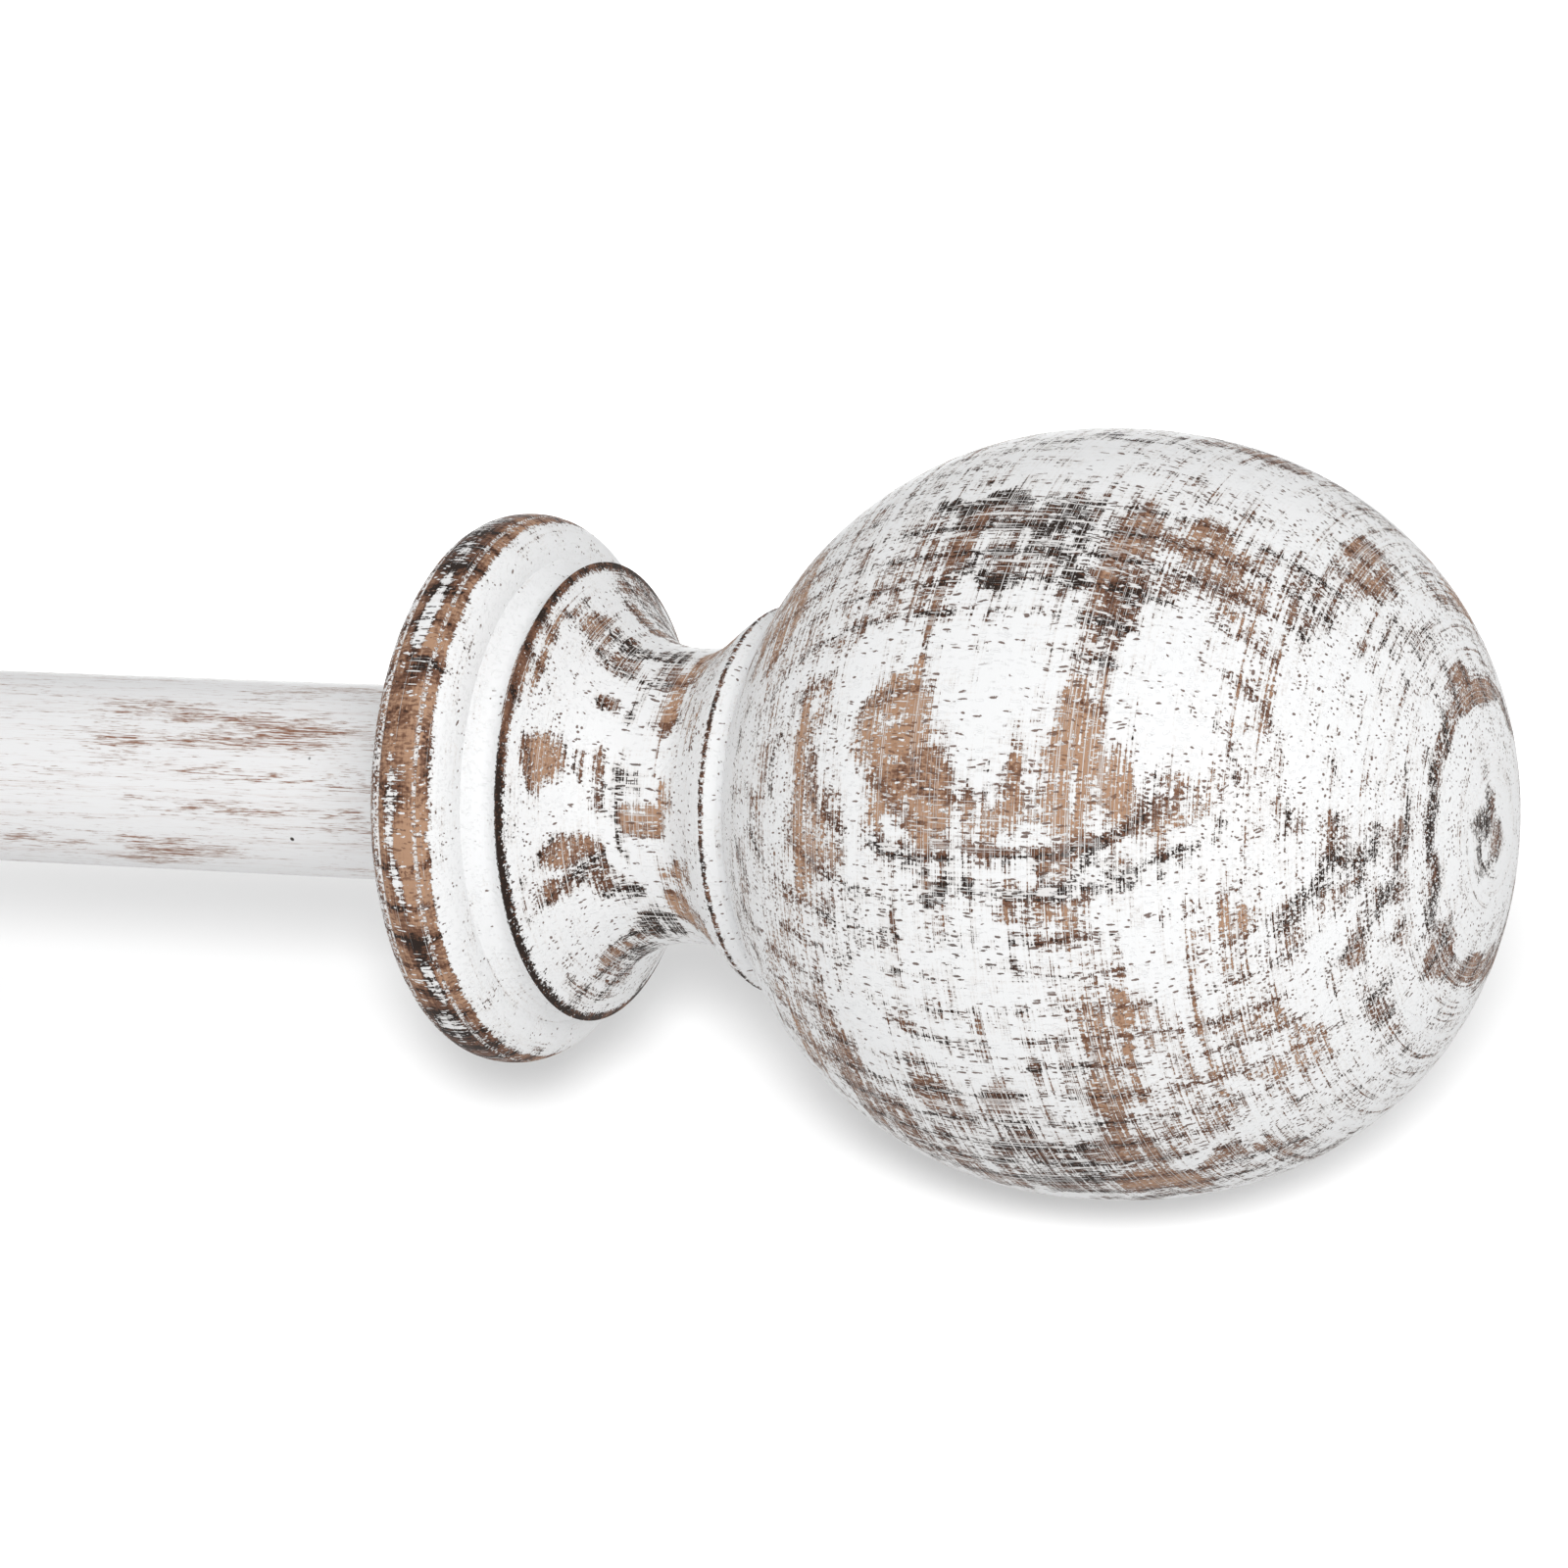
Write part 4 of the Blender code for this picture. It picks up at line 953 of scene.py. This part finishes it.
def add_nylon_rings(axis):
    """The bush in the outer tube's mouth, and the guide on the inner tube's hidden end."""
    start, end = ends_of("mouth_bush")
    bore = INNER_TUBE_R + 0.2
    body = OUTER_TUBE_R - TUBE_WALL - 0.2
    flange, rounding = 9.9, 0.6
    outline = [(start + 0.3, bore), (start, bore + 0.3), (start, flange - rounding)]
    outline += arc((start + rounding, flange - rounding), rounding, 180, 90, 5)
    outline += [(start + 1.8, flange), (start + 2, flange - 0.2), (start + 2, body)]
    outline += [(end - 1, body), (end, body - 0.25), (end, bore + 0.15), (end - 0.4, bore)]
    add_piece("mouth_bush", turned(outline, SEGMENTS, closed=True), frame_of(axis, RIGHT))

    start, end = ends_of("inner_guide")
    inside = INNER_TUBE_R - TUBE_WALL - CLEAR
    collar = end - 6
    outline = [(start, 4.3), (start, inside - 0.8), (start + 1.2, inside), (collar, inside)]
    outline += [(collar, body - 0.3), (collar + 0.3, body), (end - 0.6, body), (end, body - 0.6)]
    outline += [(end, 4.5), (end - 0.5, 4), (start + 0.3, 4)]
    add_piece("inner_guide", turned(outline, SEGMENTS, closed=True), frame_of(axis, RIGHT))


def add_end_fittings(side, direction, tube_radius, back_face):
    """The nylon plug with its slots, and the brass insert with its knurls. Distances run outwards."""
    to_row = frame_of(back_face, direction)
    bore = STUD_R + CLEAR
    lip_face, lip_root, deep = -CLEAR, -CLEAR - 1.2, -CLEAR - 21.2
    body = tube_radius - TUBE_WALL - CLEAR
    pocket, pocket_end = 4.5, lip_face - 10.5
    outline = [(deep, bore), (deep, body - 0.8), (deep + 1.2, body)]
    outline += straight(deep + 2, lip_root, body, 1)
    outline += [(lip_root, tube_radius - 0.15), (lip_root + 0.15, tube_radius)]
    outline += [(lip_face - 0.3, tube_radius), (lip_face, tube_radius - 0.3), (lip_face, pocket + 0.2)]
    outline += [(lip_face - 0.2, pocket), (pocket_end, pocket), (pocket_end, bore)]

    def slots(along, angle):
        return 0.5 * max(0.0, math.cos(6 * angle)) ** 4 if deep + 1.5 < along < lip_root - 1 else 0.0

    add_piece(side + "_end_plug", turned(outline, SEGMENTS, closed=True, relief=slots), to_row)

    start, end, radius = lip_face - CLEAR - 9.9, lip_face - CLEAR, 4.2
    outline = [(start, bore + 0.3), (start, radius - 0.3), (start + 0.3, radius)]
    outline += straight(start + 0.5, end - 0.5, radius, 0.5)
    outline += [(end - 0.3, radius), (end, radius - 0.3), (end, bore + 0.3), (end - 0.3, bore)]
    outline += [(start + 0.3, bore)]

    def knurls(along, angle):
        grooved = start + 1 < along < end - 1 and abs(along - (start + end) / 2) > 0.7
        return 0.15 * (1 + math.cos(24 * angle)) if grooved else 0.0

    add_piece(side + "_plug_insert", turned(outline, SEGMENTS, closed=True, relief=knurls), to_row)


# ---------------------------------------------------------------- brackets


def weld_bead(boss_radius, bar_radius, thickness):
    """A bead round the foot of a boss that stands, along +X, on a round bar lying along Y under it."""
    count, sides = 64, 10
    points = []
    for i in range(count):
        around = 2 * math.pi * i / count
        outwards = Vector((0, math.cos(around), math.sin(around)))
        foot_z = boss_radius * math.sin(around)
        depth = math.sqrt(bar_radius**2 - foot_z**2) - bar_radius
        centre = Vector((depth, boss_radius * math.cos(around), foot_z))
        swell = thickness * (1 + 0.12 * math.sin(9 * around))
        for k in range(sides):
            angle = 2 * math.pi * k / sides
            point = centre + RIGHT * (swell * math.cos(angle)) + outwards * (swell * math.sin(angle))
            points.append(tuple(point))
    faces = []
    for i in range(count):
        for k in range(sides):
            n, m = (i + 1) % count, (k + 1) % sides
            faces.append((i * sides + k, n * sides + k, n * sides + m, i * sides + m))
    return points, faces


def plain_bar(start, end, radius):
    return turned([(start, 0), (start, radius), (end, radius), (end, 0)], FINE_SEGMENTS)


def boss_shape(inner_end, height):
    rounded = [(-inner_end, 0), (-inner_end, BOSS_R), (height - 0.5, BOSS_R)]
    rounded += arc((height - 0.5, BOSS_R - 0.5), 0.5, 90, 0, 4)[1:]
    return turned(rounded + [(height, 0)], 64)


def stadium(depth, inset):
    """The wall plate's outline, moved in by inset."""
    reach, steps = PLATE_R - inset, 40
    points = []
    for centre, start in ((PLATE_CENTRE, 0), (-PLATE_CENTRE, math.pi)):
        for i in range(steps + 1):
            angle = math.pi * i / steps + start
            points.append((depth, reach * math.cos(angle), centre + reach * math.sin(angle)))
    return points


def countersink(head_radius, shank_radius, length):
    cone = head_radius - shank_radius
    outline = [(-1, 0), (-1, head_radius + 0.3), (0, head_radius), (cone, shank_radius)]
    return turned(outline + [(length, shank_radius), (length, 0)], FINE_SEGMENTS)


def add_wall_plate(side, root):
    levels = ((0, 0.25), (0.25, 0), (2.2, 0), (2.6, 0.1), (2.85, 0.35), (PLATE_THICK, 0.8))
    shape = lofted([stadium(depth, inset) for depth, inset in levels])
    heights = {"upper": WALL_SCREW_UP, "lower": -WALL_SCREW_UP}
    holes = []
    for height in heights.values():
        to_plate = Matrix.Translation((PLATE_THICK, 0, height)) @ Matrix.Rotation(math.pi, 4, "Z")
        holes.append(moved(countersink(4.8, 2.7, 6), to_plate))
    add_piece(
        side + "_wall_plate",
        carved(shape, cuts=holes),
        frame_of(root, ROOM),
        strokes=lambda place: place[:, [2, 0, 1]] + 40,
    )
    screw = countersunk_screw(4.2, 2.1, 36, 1.7, point=6)
    for level, height in heights.items():
        head = root + Vector((0, -PLATE_THICK + CLEAR / 2, height)) * MM
        add_piece(side + "_" + level + "_wall_screw", screw, frame_of(head, WALL))


def add_sleeve(side, root):
    start, mouth, bore = 3.3, 43.3, ARM_R + CLEAR
    outline = [(start, 0), (start, SLEEVE_R + 1.1), (start + 0.4, SLEEVE_R + 1.0)]
    outline += [(start + 1.1, SLEEVE_R + 0.25), (start + 1.6, SLEEVE_R)]
    outline += [(mouth - 0.8, SLEEVE_R)] + arc((mouth - 0.8, SLEEVE_R - 0.8), 0.8, 90, 0, 5)[1:]
    outline += [(mouth, 0)]
    boss_at, boss_height = SLEEVE_BOSS
    under = Matrix.Translation((boss_at, 0, -SLEEVE_R)) @ Matrix.Rotation(math.pi / 2, 4, "Y")
    boss = moved(boss_shape(5.4, boss_height), under)
    # The sleeve lies along Y in the boss's own frame once it has been turned down from it.
    bead = moved(weld_bead(BOSS_R, SLEEVE_R, 0.75), under @ Matrix.Rotation(math.pi / 2, 4, "X"))
    through = [(start - 1, 0), (start - 1, bore), (mouth - 0.5, bore), (mouth + 0.5, bore + 1)]
    through += [(mouth + 0.5, 0)]
    hole = moved(plain_bar(-4, boss_height + 1, M4_R + CLEAR), under)
    cuts = [turned(through, SEGMENTS), hole]
    shape = carved(turned(outline, SEGMENTS), joins=[boss, bead], cuts=cuts)
    add_piece(side + "_sleeve", shape, frame_of(root, ROOM))


def add_arm_bar(side, arm_root):
    low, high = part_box(side + "_arm_bar")
    front, back = -low.y / MM, -high.y / MM
    bore, tapped = M4_R + CLEAR, front - 11
    outline = [(back, 0), (back, ARM_R - 0.5), (back + 0.15, ARM_R - 0.15), (back + 0.5, ARM_R)]
    outline += straight(back + 2, front - 1, ARM_R, 2)
    outline += [(front - 0.3, ARM_R), (front, ARM_R - 0.3), (front, bore + 0.3), (front - 0.3, bore)]
    outline += [(tapped, bore), (tapped - bore / 2, 0)]
    add_piece(side + "_arm_bar", turned(outline, SEGMENTS), frame_of(arm_root, ROOM))


def strap_outline(inset):
    """The cradle seen along the rod, as (y, z), all its sides moved in by inset."""
    outer, inner = CRADLE_R + CRADLE_THICK - inset, CRADLE_R + inset
    rounding = max(0.6 - inset, 0.05)
    wall_side = (10.5, inner, outer, outer, 0, -180)
    room_side = (5.0, -outer, -inner, inner, -180, 0)
    points = []
    for top, left, right, radius, start, end in (wall_side, room_side):
        height = top - inset - rounding
        points += arc((left + rounding, height), rounding, 180, 90, 3)
        points += arc((right - rounding, height), rounding, 90, 0, 3)
        points += arc((0, 0), radius, start, end, 48)
    return points


def add_cradle(side, axis):
    half = 8.0
    levels = [(-half, 0.6), (-half + 0.12, 0.3), (-half + 0.35, 0.1), (-half + 0.7, 0)]
    levels += [(-along, inset) for along, inset in levels[::-1]]
    loops = [[(along, y, z) for y, z in strap_outline(inset)] for along, inset in levels]
    bottom = CRADLE_R + CRADLE_THICK
    under = Matrix.Translation((0, 0, -bottom)) @ Matrix.Rotation(math.pi / 2, 4, "Y")
    boss = moved(boss_shape(1.25, CRADLE_BOSS), under)
    bead = moved(weld_bead(BOSS_R, bottom, 0.7), under)
    hole = moved(plain_bar(-4, CRADLE_BOSS + 1, M4_R + CLEAR), under)
    seat = Matrix.Translation((0, CRADLE_R, CRADLE_SCREW_UP)) @ Matrix.Rotation(math.pi / 2, 4, "Z")
    cuts = [hole, moved(countersink(4.3, 2.3, 5), seat)]
    shape = carved(lofted(loops), joins=[boss, bead], cuts=cuts)

    def round_the_strap(place):
        angle = np.arctan2(place[:, 2], place[:, 1])
        above = np.where(place[:, 2] > 0, place[:, 2] * np.sign(place[:, 1]), 0)
        below = np.clip(-angle, 0, math.pi) * bottom
        reach = np.hypot(place[:, 1], np.minimum(place[:, 2], 0))
        return np.stack([below - above, place[:, 0], reach], axis=1)

    add_piece(side + "_cradle", shape, frame_of(axis, RIGHT), strokes=round_the_strap)
    head = axis + Vector((0, CRADLE_R + CLEAR, CRADLE_SCREW_UP)) * MM
    screw = countersunk_screw(4.0, M4_R, 11, M4_PITCH)
    add_piece(side + "_cradle_screw", screw, frame_of(head, WALL))


def add_bracket(side, axis):
    low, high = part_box(side + "_wall_plate")
    root = Vector(((low.x + high.x) / 2, 0, (low.z + high.z) / 2))
    rod_here = Vector((root.x, axis.y, axis.z))
    add_wall_plate(side, root)
    add_sleeve(side, root)
    add_arm_bar(side, root)
    add_cradle(side, rod_here)
    boss_at, boss_height = SLEEVE_BOSS
    bore = ARM_R + CLEAR
    tip = root + Vector((0, -boss_at, -bore)) * MM
    add_thumb_screw(side + "_projection", tip, SLEEVE_R - bore + boss_height)
    reach = OUTER_TUBE_R + CLEAR
    tip = rod_here + Vector((0, 0, -reach)) * MM
    add_thumb_screw(side + "_clamp", tip, CRADLE_R + CRADLE_THICK + CRADLE_BOSS - reach)


# ---------------------------------------------------------------- stage

CAMERA_AZIMUTH = 24.68
CAMERA_ELEVATION = 5.3
CAMERA_DISTANCE = 0.5973
CAMERA_LENS = 145.0
AIM_FROM_BACK_FACE = Vector((31.66, 0, 1.47)) * MM
FLOOR_GAP = 14 * MM
FLOOR_SIZE = 60.0
FLOOR_GLOW = (0.10, 0.62)  # how much the floor glows near the camera's aim, and far from it
FLOOR_FAR = (0.24, 0.70)  # between these distances from the aim it changes from one to the other
# Lights: azimuth, elevation, distance (m), size (m), power.
FLOOR_LIGHT = (CAMERA_AZIMUTH, 7.0, 0.66, 0.03, 38)
FRONT_LIGHT = (34, 20, 2.2, 1.3, 21)
BACK_LIGHT = (205, 12, 2.4, 0.8, 5)


def aim_at(target, obj, azimuth, elevation, distance):
    """Puts obj that far from target, in that direction, and turns it to face it."""
    a, e = math.radians(azimuth), math.radians(elevation)
    direction = Vector((math.sin(a) * math.cos(e), -math.cos(a) * math.cos(e), math.sin(e)))
    place = target + direction * distance
    obj.location = place
    obj.rotation_mode = "QUATERNION"
    obj.rotation_quaternion = (target - place).to_track_quat("-Z", "Y")
    bpy.context.scene.collection.objects.link(obj)


def add_camera(aim):
    data = bpy.data.cameras.new("camera")
    data.lens = CAMERA_LENS
    data.sensor_width = 36
    data.clip_start = 0.01
    data.clip_end = 200
    camera = bpy.data.objects.new("camera", data)
    aim_at(aim, camera, CAMERA_AZIMUTH, CAMERA_ELEVATION, CAMERA_DISTANCE)
    bpy.context.scene.camera = camera


def add_light(name, azimuth, elevation, distance, size, power, target):
    data = bpy.data.lights.new(name, "AREA")
    data.shape = "DISK"
    data.size = size
    data.energy = power
    light = bpy.data.objects.new(name, data)
    aim_at(target, light, azimuth, elevation, distance)
    return light


def add_floor(lowest, aim):
    """A pale floor, and a lamp above the camera that lays a soft shadow on it and lights nothing else."""
    corners = ((-1, -1), (1, -1), (1, 1), (-1, 1))
    mesh = bpy.data.meshes.new("floor")
    mesh.from_pydata([(x * FLOOR_SIZE, y * FLOOR_SIZE, 0) for x, y in corners], [], [(0, 1, 2, 3)])
    floor = bpy.data.objects.new("floor", mesh)
    floor.location = (aim.x, aim.y, lowest - FLOOR_GAP)
    floor.visible_diffuse = False
    floor.visible_glossy = False
    bpy.context.scene.collection.objects.link(floor)
    g = Graph("pale_floor")
    where = g.new("TexCoord", "Object")
    grain = g.new("TexNoise", "Fac", Vector=where, Scale=6.0, Detail=3.0)
    color = g.blend((0.71, 0.71, 0.71), (0.73, 0.73, 0.73), grain)
    distance = g.tree.nodes.new("ShaderNodeVectorMath")
    distance.operation = "LENGTH"
    feed(g.tree, distance.inputs[0], where)
    near_glow, far_glow = FLOOR_GLOW
    glow = Wire(g.tree, distance.outputs["Value"]).step(*FLOOR_FAR) * (far_glow - near_glow) + near_glow
    look = {"Roughness": 0.9, "Specular_IOR_Level": 0.0, "Emission_Color": (1, 1, 1)}
    mesh.materials.append(g.finish(Base_Color=color, Emission_Strength=glow, **look))

    lamp = add_light("floor_light", *FLOOR_LIGHT, aim)
    lamp.data.use_nodes = True
    tree = lamp.data.node_tree
    falloff = tree.nodes.new("ShaderNodeLightFalloff")
    falloff.inputs["Strength"].default_value = 1
    tree.links.new(falloff.outputs["Constant"], tree.nodes["Emission"].inputs["Strength"])
    floor_only = bpy.data.collections.new("floor_only")
    floor_only.objects.link(floor)
    lamp.light_linking.receiver_collection = floor_only


def add_world():
    """Soft light from all round, white along the horizon."""
    world = bpy.data.worlds.new("studio")
    world.use_nodes = True
    tree = world.node_tree
    background = tree.nodes["Background"]
    where = tree.nodes.new("ShaderNodeTexCoord")
    split = tree.nodes.new("ShaderNodeSeparateXYZ")
    tree.links.new(where.outputs["Generated"], split.inputs[0])
    height = Wire(tree, split.outputs[2])
    glow = height.math("ABSOLUTE").step(0.20, 0.14) * (height + 0.02).step(-0.01, 0.01)
    strength = height.step(-0.6, 0.6) * -0.20 + 0.78 + glow * 0.55
    feed(tree, background.inputs["Strength"], strength)
    background.inputs["Color"].default_value = (1, 1, 1, 1)
    bpy.context.scene.world = world


# ---------------------------------------------------------------- the model

right_low, right_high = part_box("right_finial")
_, left_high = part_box("left_finial")
axis = Vector((0, (right_low.y + right_high.y) / 2, (right_low.z + right_high.z) / 2))
back_faces = {
    "right": Vector((right_low.x, axis.y, axis.z)),
    "left": Vector((left_high.x, axis.y, axis.z)),
}

add_finials(back_faces)
add_studs(back_faces)
add_tubes(axis, back_faces)
add_nylon_rings(axis)
add_end_fittings("right", RIGHT, OUTER_TUBE_R, back_faces["right"])
add_end_fittings("left", LEFT, INNER_TUBE_R, back_faces["left"])
for side, _ in SIDES:
    add_bracket(side, axis)

aim = back_faces["right"] + AIM_FROM_BACK_FACE
add_camera(aim)
add_floor(cad_box[0].z, aim)
add_world()
add_light("front", *FRONT_LIGHT, aim)
add_light("back", *BACK_LIGHT, aim)
bpy.context.scene.view_settings.view_transform = "Standard"
